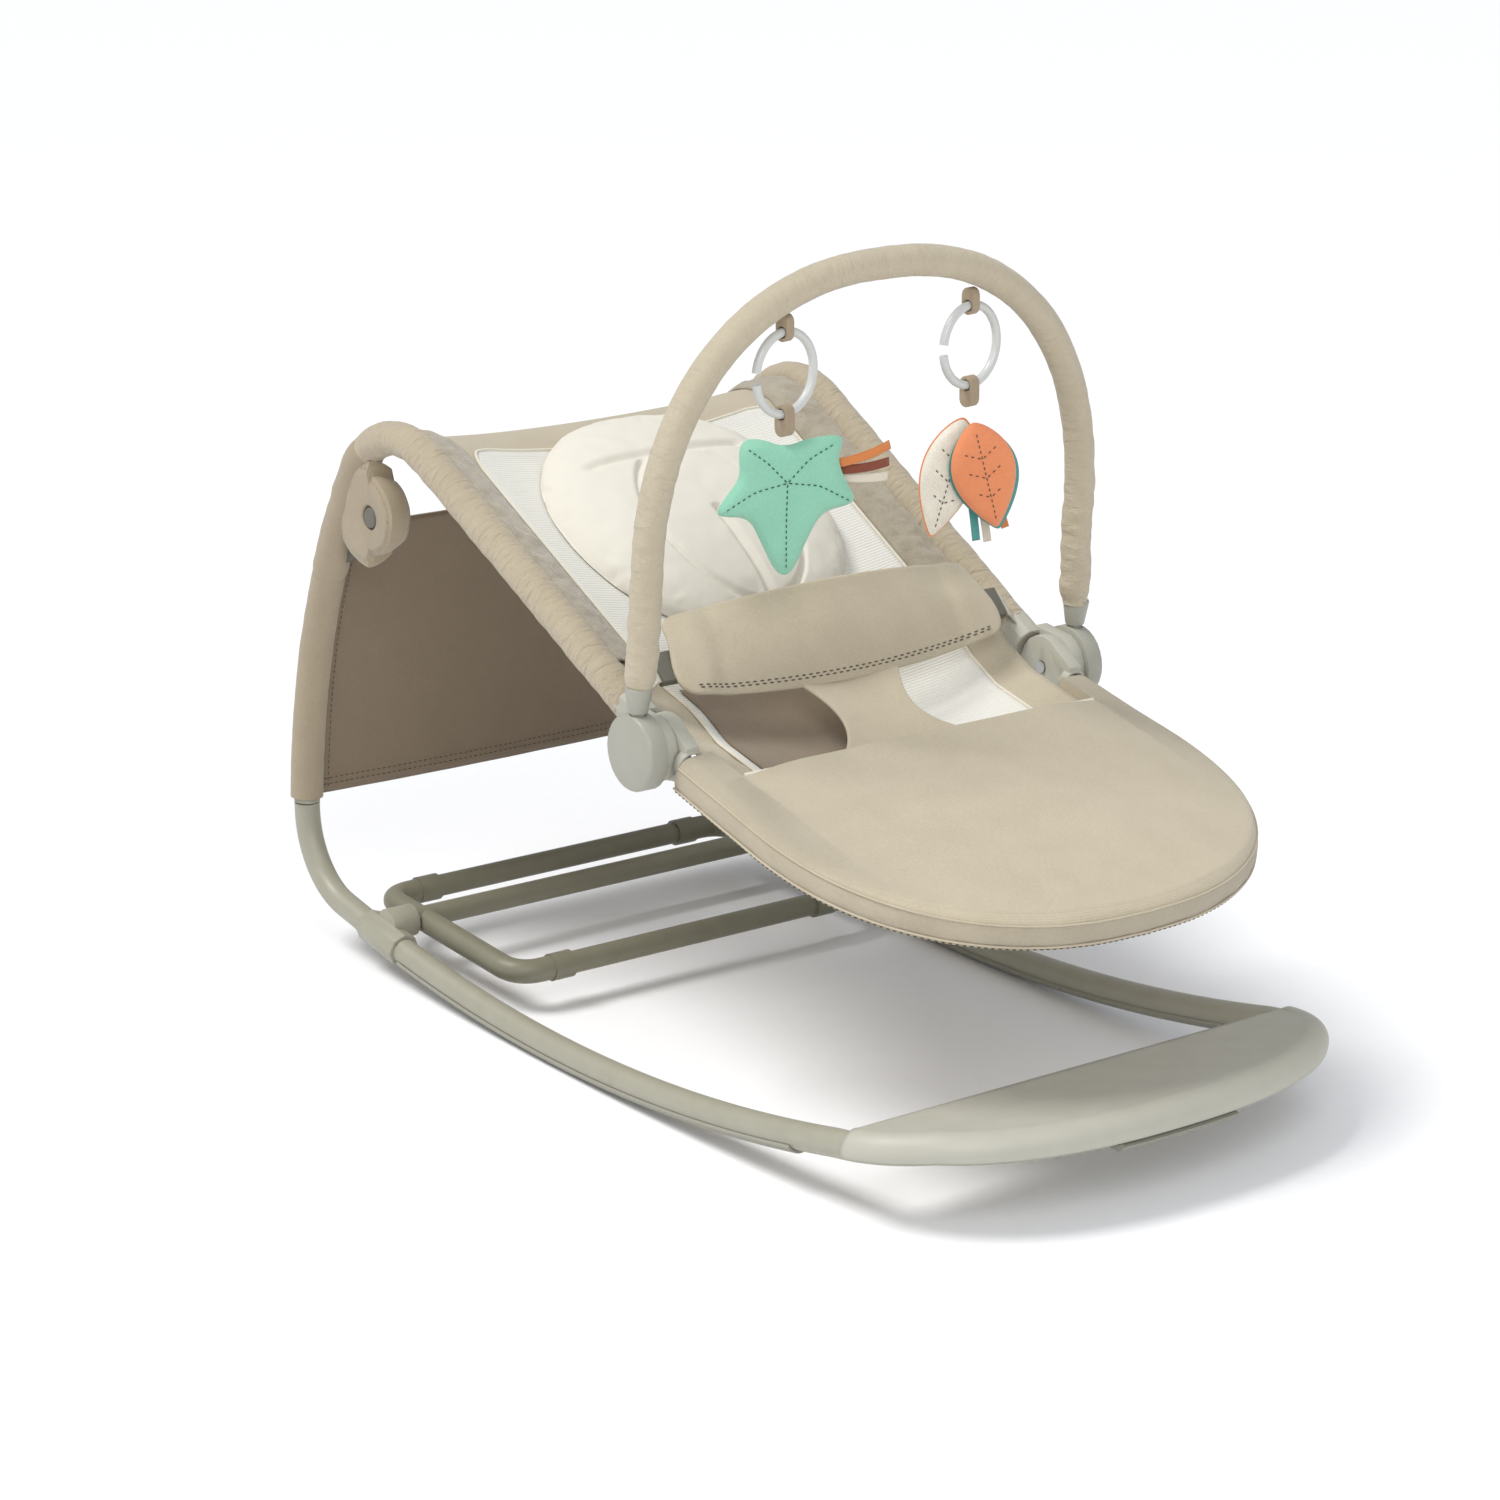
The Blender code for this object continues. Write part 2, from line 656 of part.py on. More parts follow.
# ---------------------------------------------------------------- seat frame and hubs
def build_seat_frame(recline):
    """Rails with the top bend, the moving halves of the joints and the rail hubs."""
    rail_end = FRAME_LENGTH - SOCKET_START - CLEARANCE
    collar_end = RAIL_START + COLLAR_LENGTH
    socket_end = FRAME_LENGTH - SOCKET_START - SOCKET_LENGTH
    for word, side in SIDES.items():
        finish(tube(frame_points(side, RAIL_START, rail_end), FRAME_TUBE_RADIUS),
               f"{word}_rail_tube", "tube", recline)
        y, z, _ = frame_point(RAIL_START + COLLAR_LENGTH * 0.35)
        collar = tube(frame_points(side, RAIL_START + 0.0005, collar_end), COLLAR_RADIUS, 3)
        lug = side_plate(lug_outline((FOLD_Y, FOLD_Z), (y, z), FOLD_LUG_RADIUS),
                         side * (FOLD_MIDDLE_X + CLEARANCE), side * FOLD_OUTER_X)
        bore = tube(frame_points(side, RAIL_START - 0.010, collar_end + 0.020),
                    FRAME_TUBE_RADIUS + CLEARANCE)
        hole = cylinder((side * (FOLD_INNER_X - CUT), FOLD_Y, FOLD_Z),
                        (side * (FOLD_OUTER_X - 0.001), FOLD_Y, FOLD_Z), FOLD_PIN_RADIUS + 0.0002)
        pocket = cylinder((side * BUTTON_POCKET_X, FOLD_Y, FOLD_Z),
                          (side * (FOLD_OUTER_X + CUT), FOLD_Y, FOLD_Z), BUTTON_RADIUS + CLEARANCE)
        arm = combine("DIFFERENCE", combine("UNION", collar, lug), bore, hole, pocket)
        finish(arm, f"{word}_joint_arm", "dark_moulded", recline)

        heading = frame_point(FRAME_LENGTH)[2]
        along = Vector((-math.cos(heading), -math.sin(heading)))
        socket = tube(frame_points(side, socket_end, rail_end), COLLAR_RADIUS, 3)
        pin = cylinder((side * (HUB_INNER_X - 0.0015), HUB_Y, HUB_Z), (side * 0.2105, HUB_Y, HUB_Z),
                       HUB_PIN_RADIUS)
        finish(pin, f"{word}_hub_pin", "steel", recline)
        finish(hub_half(side, socket, along, HUB_MIDDLE_X, HUB_OUTER_X,
                        tube(frame_points(side, socket_end - 0.01, rail_end + 0.004),
                             FRAME_TUBE_RADIUS + CLEARANCE)),
               f"{word}_rail_hub", "moulded", recline)


def hub_half(side, socket, along, low_x, high_x, bore):
    """A round hub with a web to the socket that holds its tube."""
    centre = Vector((HUB_Y, HUB_Z))
    tip = centre + along * (SOCKET_START + 0.006)
    outline = lug_outline(tuple(centre), tuple(tip), HUB_RADIUS)
    lug = side_plate(outline, side * low_x, side * high_x)
    hole = cylinder((side * 0.175, HUB_Y, HUB_Z), (side * 0.220, HUB_Y, HUB_Z), HUB_PIN_RADIUS + 0.0002)
    return combine("DIFFERENCE", combine("UNION", socket, lug), bore, hole)


def build_fold_buttons(recline):
    """Round buttons that release the recline joints."""
    for word, side in SIDES.items():
        low = BUTTON_POCKET_X + BUTTON_TRAVEL + 0.0003
        place = (side * low, FOLD_Y, FOLD_Z)
        axis = axis_empty(f"{word}_button_axis", place, recline)
        height = BUTTON_FACE_X - low
        profile = [(0.0, height), (BUTTON_RADIUS - 0.0012, height), (BUTTON_RADIUS, height - 0.0012),
                   (BUTTON_RADIUS, 0.0), (0.0, 0.0)]
        outward = Vector((side, 0, 0)).to_track_quat("Z", "Y").to_matrix().to_4x4()
        finish(turned(profile, Matrix.Translation(place) @ outward), f"{word}_recline_button",
               "dark_moulded", axis)


def build_arch_mounts(mounts):
    """Outer discs of the hubs, each with a socket for a leg of the toy arch."""
    for word, side in SIDES.items():
        low = HUB_OUTER_X + CLEARANCE
        height = DISC_FACE_X - low
        profile = [(0.0, height), (DISC_RADIUS - 0.003, height), (DISC_RADIUS - 0.001, height - 0.001),
                   (DISC_RADIUS, height - 0.003), (DISC_RADIUS, 0.0), (0.0, 0.0)]
        outward = Vector((side, 0, 0)).to_track_quat("Z", "Y").to_matrix().to_4x4()
        disc = turned(profile, Matrix.Translation((side * low, HUB_Y, HUB_Z)) @ outward, 28)
        hole = cylinder((side * 0.200, HUB_Y, HUB_Z), (side * 0.211, HUB_Y, HUB_Z), HUB_PIN_RADIUS + 0.0002)
        socket = cylinder(arch_point(side * ARCH_BASE_X, 0.012), arch_point(side * ARCH_BASE_X, 0.040),
                          ARCH_SOCKET_RADIUS)
        finish(combine("DIFFERENCE", disc, hole, socket), f"{word}_arch_mount", "moulded", mounts)


# ---------------------------------------------------------------- leg rest
def build_leg_rest(leg):
    """U tube, its hubs and the padded cover."""
    def leg_line(start, count):
        across = FRAME_HUB_HALF_WIDTH
        bow = superellipse(across, LEG_TUBE_FRONT - LEG_PAD_CURVE_START, LEG_TUBE_EXPONENT, count)
        flat = [(across, start)] + [(x, LEG_PAD_CURVE_START + out) for x, out in bow] + [(-across, start)]
        return [leg_point(x, forward) for x, forward in flat]

    finish(tube(leg_line(SOCKET_START + CLEARANCE, 16), LEG_TUBE_RADIUS), "leg_frame_tube", "tube", leg)
    along = Vector((-math.cos(LEG_SLOPE), -math.sin(LEG_SLOPE)))
    for word, side in SIDES.items():
        x = side * FRAME_HUB_HALF_WIDTH
        socket = cylinder(leg_point(x, SOCKET_START), leg_point(x, LEG_PAD_BACK - 0.001), 0.0118)
        bore = cylinder(leg_point(x, SOCKET_START - 0.002), leg_point(x, LEG_PAD_BACK + 0.01),
                        LEG_TUBE_RADIUS + CLEARANCE)
        finish(hub_half(side, socket, along, HUB_INNER_X, HUB_MIDDLE_X - CLEARANCE, bore),
               f"{word}_leg_hub", "moulded", leg)

    bow = superellipse(LEG_PAD_HALF_WIDTH, LEG_PAD_FRONT - LEG_PAD_CURVE_START, LEG_TUBE_EXPONENT, 18)
    outline = [(LEG_PAD_HALF_WIDTH - 0.004, LEG_PAD_BACK)]
    outline += [(x, LEG_PAD_CURVE_START + out) for x, out in bow]
    outline += [(-LEG_PAD_HALF_WIDTH + 0.004, LEG_PAD_BACK), (-LEG_PAD_SEAM_HALF_WIDTH, LEG_PAD_BACK),
                (-LEG_PAD_SEAM_HALF_WIDTH, LEG_PAD_SEAM), (LEG_PAD_SEAM_HALF_WIDTH, LEG_PAD_SEAM),
                (LEG_PAD_SEAM_HALF_WIDTH, LEG_PAD_BACK)]
    lean = Matrix(((1, 0, 0), (0, -math.cos(LEG_SLOPE), -math.sin(LEG_SLOPE)),
                   (0, -math.sin(LEG_SLOPE), math.cos(LEG_SLOPE))))
    frame = Matrix.Translation((0, HUB_Y, HUB_Z)) @ lean.to_4x4()
    mirrored = [(-x, forward) for x, forward in outline]
    flip = Matrix.Diagonal((-1, 1, 1, 1))
    pad = plate([mirrored], LEG_PAD_THICKNESS, frame @ flip)
    channel = tube(leg_line(LEG_PAD_BACK - 0.02, 16), LEG_TUBE_RADIUS + CLEARANCE)
    finish(combine("DIFFERENCE", pad, channel), "leg_rest_pad", "taupe", leg)


# ---------------------------------------------------------------- seat fabric
def seat_line(distance):
    """The seat's side line: along the rails to the hub, then along the leg rest."""
    if distance < FRAME_LENGTH:
        return frame_point(distance)
    forward = distance - FRAME_LENGTH
    _, y, z = leg_point(0.0, forward)
    return y, z, math.pi + LEG_SLOPE


SLING_SLEEVE_END = FRAME_LENGTH - SOCKET_START - SOCKET_LENGTH - 0.001


def seat_place(distance, share, lift=0.0):
    """A point on the sling at a share across, from -1 to 1, lifted off the cloth."""
    y, z, heading = seat_line(distance)
    half = LEG_PAD_SEAM_HALF_WIDTH - 0.0005
    if distance < SLING_SLEEVE_END:
        half = frame_x(distance) - SEAM_GAP
    fall = SEAT_SAG * (1 - share ** 2) * min(1.0, (distance - RAIL_START) / 0.12) - lift
    return (half * share, y - fall * math.sin(heading), z + fall * math.cos(heading))


def build_seat(recline):
    """Sling, padded insert, waist flap, crotch piece and belts."""
    start = RAIL_START + COLLAR_LENGTH + 0.008
    end = FRAME_LENGTH + 0.066

    def sling(across, along):
        return seat_place(start + (end - start) * along, 2 * across - 1)
    sleeves = [hollow_tube(frame_points(side, RAIL_START + COLLAR_LENGTH + 0.004, SLING_SLEEVE_END),
                           SLEEVE_RADIUS, SLEEVE_WALL) for side in SIDES.values()]
    finish(combine("UNION", sheet(8, 14, sling, FABRIC), *sleeves), "seat_sling", "taupe", recline)

    heading = frame_point(FRAME_LENGTH - 0.1)[2]
    slope = heading - math.pi
    centre = Vector((0.0, HUB_Y, HUB_Z)) + 0.258 * Vector((0, math.cos(slope), math.sin(slope)))
    pad = bmesh.new()
    bmesh.ops.create_uvsphere(pad, u_segments=20, v_segments=8, radius=1.0,
                              matrix=Matrix.Diagonal((0.130, 0.140, 0.0215, 1.0)))
    insert = add_mesh(pad, Matrix.Translation(centre) @ Matrix.Rotation(slope, 4, "X"))
    finish(insert, "body_insert", "ivory", recline)

    def flap(across, along):
        share = 2 * across - 1
        top = Vector((0.140 * share, -0.021 + 0.029 * share ** 2, 0.3865 - 0.0195 * share ** 2))
        low = Vector((0.141 * share, -0.048 + 0.008 * share ** 2, 0.308 + 0.011 * share ** 2))
        return low.lerp(top, along)

    def crotch(across, along):
        half = 0.045 + 0.025 * along ** 2
        y = -0.0475 - 0.0745 * along
        z = 0.3100 - 0.0355 * math.sin(along * math.pi / 2)
        return (half * (2 * across - 1), y, z)
    harness = combine("UNION", sheet(8, 3, flap, FABRIC), sheet(2, 4, crotch, FABRIC))
    finish(harness, "waist_flap", "taupe", recline)
    for word, side in SIDES.items():
        build_buckle(word, side, recline)


def build_buckle(word, side, recline):
    """Side-release buckle and the belt that holds it to the seat's edge."""
    lean = Matrix.Rotation(math.radians(45), 4, "X")
    level = Vector((0, -0.024, 0.339))
    depth = 0.0090
    socket = block(level + Vector((side * 0.1605, 0, 0)), (0.021, 0.026, depth), lean)
    slot = block(level + Vector((side * 0.157, 0, 0)), (0.018, 0.020, 0.0040), lean)
    buckle = combine("DIFFERENCE", socket, slot)
    finish(buckle, f"{word}_buckle", "dark_moulded", recline)
    tongue = block(level + Vector((side * 0.1530, 0, 0)), (0.019, 0.0192, 0.0032), lean)
    finish(tongue, f"{word}_buckle_tongue", "dark_moulded", recline)
    belt = block(level + Vector((side * 0.1755, 0, 0)), (0.0080, 0.022, 0.0022), lean)
    finish(belt, f"{word}_belt", "cream", recline)


# ---------------------------------------------------------------- toy arch, rings and toys
def build_arch(arch):
    """Springy rod in a padded sleeve, with a plug at each end and two hanging loops."""
    finish(tube(arch_points(0.0365, 20), ARCH_ROD_RADIUS), "arch_rod", "steel", arch)
    finish(hollow_tube(arch_points(0.0535, 20), ARCH_SLEEVE_RADIUS, 0.0068), "arch_sleeve", "taupe", arch)
    for word, side in SIDES.items():
        base = 0.0135
        profile = [(0.0, 0.0355 - base), (0.0052, 0.0355 - base), (0.0052, 0.052 - base),
                   (0.0110, 0.052 - base), (0.0095, 0.042 - base), (0.0078, 0.0320 - base),
                   (0.0059, 0.0316 - base), (0.0059, 0.001), (0.0050, 0.0), (0.0, 0.0)]
        upward = Matrix.Translation(arch_point(side * ARCH_BASE_X, base)) @ Matrix.Rotation(ARCH_TILT, 4, "X")
        finish(turned(profile, upward), f"{word}_arch_plug", "moulded", arch)


def link_outline(top, bottom, half_width, bore_z):
    """Outer line of a fabric loop and the hole that a ring passes through."""
    outer = arc((0, top - half_width), half_width, 0, 180, 6)
    outer += arc((0, bottom + half_width), half_width, 180, 360, 6)
    return [outer, list(reversed(arc((0, bore_z), RING_SECTION_RADIUS + RING_PLAY, 0, 330, 11)))]


def ring_frame(side):
    """Matrix whose local X runs along a ring's top and whose local Z is up."""
    centre = Vector((side * RING_X, RING_Y, RING_Z))
    return Matrix.Translation(centre) @ Matrix.Rotation(RING_TURN, 4, "Z")


def loop_plate(side, outlines, width):
    """A fabric loop that wraps a ring: its outline lies across the ring's section."""
    stand_up = Matrix(((0, 0, 1, 0), (1, 0, 0, 0), (0, 1, 0, 0), (0, 0, 0, 1)))
    return plate(outlines, width, ring_frame(side) @ stand_up)


def build_rings(arch):
    """Two open rings on loops, each with a toy."""
    for word, side in SIDES.items():
        frame = ring_frame(side)
        top = frame @ Vector((0, 0, RING_RADIUS))
        low = frame @ Vector((0, 0, -RING_RADIUS))
        strap = loop_plate(side, link_outline(0.0458, RING_RADIUS - 0.0075, 0.0062, RING_RADIUS), 0.008)
        finish(strap, f"{word}_ring_loop", "taupe", arch)
        swing = axis_empty(f"{word}_ring_axis", top, arch)
        line = [frame @ Vector((RING_RADIUS * math.cos(angle), 0, RING_RADIUS * math.sin(angle)))
                for angle in (math.radians(172 - 344 * step / 22) for step in range(23))]
        finish(tube(line, RING_SECTION_RADIUS), f"{word}_ring", "ring", swing)
        toy = axis_empty(f"{word}_toy_axis", low, swing)
        tab = loop_plate(side, link_outline(-RING_RADIUS + 0.0075, -0.0490, 0.0062, -RING_RADIUS), 0.010)
        finish(tab, f"{word}_toy_loop", "taupe", toy)
        toy_frame = Matrix.Translation(frame.translation) @ Matrix.Rotation(TOY_TURN, 4, "Z")
        if side < 0:
            build_star_toy(toy_frame, toy)
        else:
            build_leaf_toy(toy_frame, toy)


def standing(frame, ahead):
    """Matrix of a plate that hangs in a ring's plane, a distance in front of it."""
    upright = Matrix.Rotation(math.radians(90), 4, "X")
    return frame @ Matrix.Translation((0, -ahead, 0)) @ upright


def build_star_toy(frame, toy):
    """Five-lobed leaf with a fan of ribbons."""
    outline = [(0.0435, -0.0510), (0.0412, -0.0680), (0.0560, -0.0997), (0.0300, -0.1090), (0.0194, -0.1260),
               (0.0, -0.1595), (-0.0187, -0.1300), (-0.0280, -0.1108), (-0.0537, -0.1060), (-0.0342, -0.0797),
               (-0.0320, -0.0500), (0.0, -0.0575)]
    leaf = as_mesh(plate([outline], 0.013, standing(frame, 0.0)))
    soften(leaf, 0.003, 1)
    finish(leaf, "star_leaf", "green", toy)
    ribbons = [ribbon(frame, (0.0595, 0.004 + 0.0004 * index, -0.075 - 0.006 * index), angle, 0.028)
               for index, angle in enumerate((20, 4, -12))]
    finish(combine("UNION", *ribbons), "left_ribbons", "orange", toy)


def ribbon(frame, root, angle, length):
    """Flat ribbon that runs from a root point at an angle below the level, in degrees."""
    turn = Matrix.Translation(root) @ Matrix.Rotation(math.radians(angle), 4, "Y")
    strip = block((0, 0, 0), (length, 0.0011, 0.0070))
    strip.matrix_world = frame @ turn @ Matrix.Translation((length / 2, 0, 0))
    return strip


def leaf_outline(tip, stem, half_width, count=10):
    """Pointed oval between two points."""
    start = Vector(stem)
    along = Vector(tip) - start
    across = Vector((-along.y, along.x)).normalized()
    shares = [index / count for index in range(count + 1)]
    widths = [half_width * math.sin(math.pi * share ** 0.85) ** 0.85 for share in shares[1:-1]]
    one = [start + along * share + across * width for share, width in zip(shares[1:-1], widths)]
    two = [start + along * share - across * width for share, width in zip(shares[1:-1], widths)]
    points = [start] + one + [start + along] + list(reversed(two))
    return [tuple(point) for point in reversed(points)]


def build_leaf_toy(frame, toy):
    """Two overlapping leaves with ribbons below."""
    leaves = (("orange_leaf", "orange", (0.0225, -0.146), (0.001, -0.0595), 0.026, 0.0055),
              ("cream_leaf", "cream", (-0.028, -0.154), (-0.003, -0.0595), 0.022, -0.0055))
    for name, kind, tip, stem, half_width, ahead in leaves:
        leaf = as_mesh(plate([leaf_outline(tip, stem, half_width)], 0.010, standing(frame, ahead)))
        soften(leaf, 0.003, 1)
        finish(leaf, name, kind, toy)
    ribbons = [ribbon(frame, (0.012 + 0.006 * index, 0.0120 + 0.0004 * index, -0.125), angle, 0.034)
               for index, angle in enumerate((96, 80, 66))]
    finish(combine("UNION", *ribbons), "right_ribbons", "cream", toy)


# ---------------------------------------------------------------- assembly
clear_scene()
parts = new_collection("bouncer_seat")

base_frame = axis_empty("base_frame", (0, 0, 0))
stand_axis = axis_empty("stand_axis", (0, STAND_Y, STAND_Z), base_frame)
recline_axis = axis_empty("recline_axis", (0, FOLD_Y, FOLD_Z), base_frame)
leg_axis = axis_empty("leg_axis", (0, HUB_Y, HUB_Z), recline_axis)
mount_axis = axis_empty("arch_mount_axis", (0, HUB_Y, HUB_Z), recline_axis)
arch_axis = axis_empty("arch_lift_axis", (0, HUB_Y, HUB_Z), mount_axis)

build_base(base_frame)
build_stand(stand_axis)
build_seat_frame(recline_axis)
build_fold_buttons(recline_axis)
build_seat(recline_axis)
build_leg_rest(leg_axis)
build_arch_mounts(mount_axis)
build_arch(arch_axis)
build_rings(arch_axis)
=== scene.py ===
"""Looks of a baby bouncer seat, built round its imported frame.

Units are metres, +Z is up, the sitter faces -Y and left means the -X side. Each sub-assembly is a
class: its fields are its sizes, its methods build its meshes, and dress() gives them finishes.
"""

import logging
import math
from dataclasses import dataclass, field
from enum import Enum
from typing import Callable, Optional, Sequence

import bmesh
import bpy
from mathutils import Matrix, Vector, noise
from mathutils.bvhtree import BVHTree


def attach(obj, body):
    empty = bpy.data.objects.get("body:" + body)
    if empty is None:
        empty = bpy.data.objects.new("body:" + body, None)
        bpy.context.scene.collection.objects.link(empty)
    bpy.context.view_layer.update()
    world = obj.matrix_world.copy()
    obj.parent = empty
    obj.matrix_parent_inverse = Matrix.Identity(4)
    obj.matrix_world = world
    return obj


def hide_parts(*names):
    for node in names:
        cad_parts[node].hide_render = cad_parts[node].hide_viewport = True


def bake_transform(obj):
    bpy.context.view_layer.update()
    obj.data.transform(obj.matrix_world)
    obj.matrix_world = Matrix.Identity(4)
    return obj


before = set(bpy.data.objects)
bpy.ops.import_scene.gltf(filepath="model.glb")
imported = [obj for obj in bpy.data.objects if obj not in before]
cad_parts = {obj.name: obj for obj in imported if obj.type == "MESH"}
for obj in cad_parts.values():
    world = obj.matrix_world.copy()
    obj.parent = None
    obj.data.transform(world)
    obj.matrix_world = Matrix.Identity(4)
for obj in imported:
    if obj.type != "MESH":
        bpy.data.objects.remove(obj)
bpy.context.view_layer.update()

LOG = logging.getLogger("bouncer_seat")
SIDES = {"left": -1, "right": 1}
AXIS_X = Vector((1.0, 0.0, 0.0))
AXIS_Z = Vector((0.0, 0.0, 1.0))
Colour = tuple[float, float, float]
Spot = tuple[float, float, float]
Pair = tuple[float, float]
Place = Callable[[float, float], Vector]
Relief = Callable[[float, float], float]
Piece = bpy.types.Object


# ---- small helpers
def linear(red: int, green: int, blue: int) -> Colour:
    """Turn an 8-bit display colour into scene-linear values.

    Args:
        red: Red, 0 to 255.
        green: Green, 0 to 255.
        blue: Blue, 0 to 255.

    Returns:
        The three linear channels.
    """
    def channel(value: int) -> float:
        """One channel of the colour."""
        share = value / 255
        return share / 12.92 if share <= 0.04045 else ((share + 0.055) / 1.055) ** 2.4
    return (channel(red), channel(green), channel(blue))


def smoothstep(low: float, high: float, value: float) -> float:
    """Rise smoothly from 0 at low to 1 at high."""
    share = min(max((value - low) / (high - low), 0.0), 1.0)
    return share * share * (3.0 - 2.0 * share)


def bump(centre: float, reach: float, value: float) -> float:
    """A smooth hump of height 1 at a centre that ends at a reach on both sides."""
    return 1.0 - smoothstep(0.0, reach, abs(value - centre))


def arc(centre: Vector, radius: float, start: float, end: float, count: int) -> list[Vector]:
    """Points on an arc in the YZ plane.

    Args:
        centre: Centre of the arc; its x is kept.
        radius: Radius of the arc.
        start: First angle in degrees, from +Y towards +Z.
        end: Last angle in degrees.
        count: Number of steps.

    Returns:
        The points, count + 1 of them.
    """
    angles = [math.radians(start + (end - start) * index / count) for index in range(count + 1)]
    return [Vector((centre.x, centre.y + radius * math.cos(angle), centre.z + radius * math.sin(angle)))
            for angle in angles]


def superellipse(half_width: float, depth: float, exponent: float, count: int) -> list[Pair]:
    """Points (across, out) of a flat-sided bow from +half_width round to -half_width.

    Args:
        half_width: Half of the bow's width.
        depth: How far the bow reaches out.
        exponent: 2 gives an ellipse, and more gives squarer shoulders.
        count: Number of steps.

    Returns:
        The points, count + 1 of them.
    """
    points = []
    for index in range(count + 1):
        angle = math.pi * index / count
        across = math.cos(angle)
        out = max(math.sin(angle), 0.0)
        points.append((half_width * math.copysign(abs(across) ** (2 / exponent), across),
                       depth * out ** (2 / exponent)))
    return points


def evenly(points: Sequence[Vector], step: float) -> list[Vector]:
    """Space points evenly along a line.

    Args:
        points: The line's own points.
        step: Wanted distance between the new points.

    Returns:
        New points from the first to the last point.
    """
    lengths = [0.0]
    for before, after in zip(points, points[1:]):
        lengths.append(lengths[-1] + (after - before).length)
    count = max(2, round(lengths[-1] / step))
    spaced = []
    index = 0
    for number in range(count + 1):
        target = lengths[-1] * number / count
        while index < len(points) - 2 and lengths[index + 1] < target:
            index += 1
        span = lengths[index + 1] - lengths[index]
        share = 0.0 if span == 0.0 else (target - lengths[index]) / span
        spaced.append(points[index].lerp(points[index + 1], share))
    return spaced


def frames_along(points: Sequence[Vector], reference: Vector) -> list[Matrix]:
    """Matrices along a line, whose Z runs ahead and whose X keeps close to a reference.

    Args:
        points: Points of the line.
        reference: A direction that is never along the line.

    Returns:
        One matrix for each point.
    """
    frames = []
    for index, point in enumerate(points):
        ahead = (points[min(index + 1, len(points) - 1)] - points[max(index - 1, 0)]).normalized()
        side = ahead.cross(reference).normalized()
        first = side.cross(ahead)
        frames.append(Matrix((
            (first.x, side.x, ahead.x, point.x),
            (first.y, side.y, ahead.y, point.y),
            (first.z, side.z, ahead.z, point.z),
            (0.0, 0.0, 0.0, 1.0))))
    return frames


# ---- mesh building
def new_piece(name: str, shape: bmesh.types.BMesh, smooth: float = 50.0) -> Piece:
    """Make an object at the origin from a bmesh, and free the bmesh.

    Args:
        name: Name of the piece.
        shape: The mesh that is built.
        smooth: Edges sharper than this angle, in degrees, stay sharp.

    Returns:
        The new object.
    """
    mesh = bpy.data.meshes.new(name)
    shape.to_mesh(mesh)
    shape.free()
    mesh.shade_smooth()
    mesh.set_sharp_from_angle(angle=math.radians(smooth))
    piece = bpy.data.objects.new(name, mesh)
    bpy.context.scene.collection.objects.link(piece)
    return piece


def surface(name: str, place: Place, columns: int, rows: int, extent: Pair,
            wrapped: bool = False, capped: bool = False, flipped: bool = False) -> Piece:
    """Bend a grid into a surface, with a UV map in metres.

    Args:
        name: Name of the piece.
        place: Gives the point at shares (across, along), each from 0 to 1.
        columns: Number of faces across.
        rows: Number of faces along.
        extent: Width and length of the flat cloth or skin, in metres.
        wrapped: Whether the first and last columns meet.
        capped: Whether the open ends are filled.
        flipped: Whether the faces of an open sheet point the other way.

    Returns:
        The new object.
    """
    shape = bmesh.new()
    layer = shape.loops.layers.uv.new("UVMap")
    bmesh.ops.create_grid(shape, x_segments=columns, y_segments=rows, size=0.5, calc_uvs=True)
    for face in shape.faces:
        for loop in face.loops:
            loop[layer].uv = ((loop.vert.co.x + 0.5) * extent[0], (loop.vert.co.y + 0.5) * extent[1])
    for vert in shape.verts:
        vert.co = place(vert.co.x + 0.5, vert.co.y + 0.5)
    if wrapped:
        bmesh.ops.remove_doubles(shape, verts=shape.verts, dist=1e-6)
    if capped:
        bmesh.ops.holes_fill(shape, edges=[edge for edge in shape.edges if edge.is_boundary])
    if wrapped:
        bmesh.ops.recalc_face_normals(shape, faces=shape.faces)
    elif flipped:
        bmesh.ops.reverse_faces(shape, faces=shape.faces)
    return new_piece(name, shape)


def swept(name: str, line: Sequence[Vector], reference: Vector, section: Callable[[float, float], tuple],
          columns: int, around: float, capped: bool = True) -> Piece:
    """Run a closed section along a line.

    Args:
        name: Name of the piece.
        line: Points of the centre line, evenly spaced.
        reference: A direction that is never along the line; the section's x keeps close to it.
        section: Gives the section's (x, y) at a share round it and a distance along the line.
        columns: Number of faces round the section.
        around: Length round the section, for the UV map.
        capped: Whether the ends are closed.

    Returns:
        The new object.
    """
    frames = frames_along(line, reference)
    length = sum((after - before).length for before, after in zip(line, line[1:]))
    rows = len(line) - 1

    def place(across: float, along: float) -> Vector:
        """Point of the swept surface."""
        x, y = section(across % 1.0 if across < 1.0 else 0.0, along * length)
        return frames[round(along * rows)] @ Vector((x, y, 0.0))
    return surface(name, place, columns, rows, (around, length), wrapped=True, capped=capped)


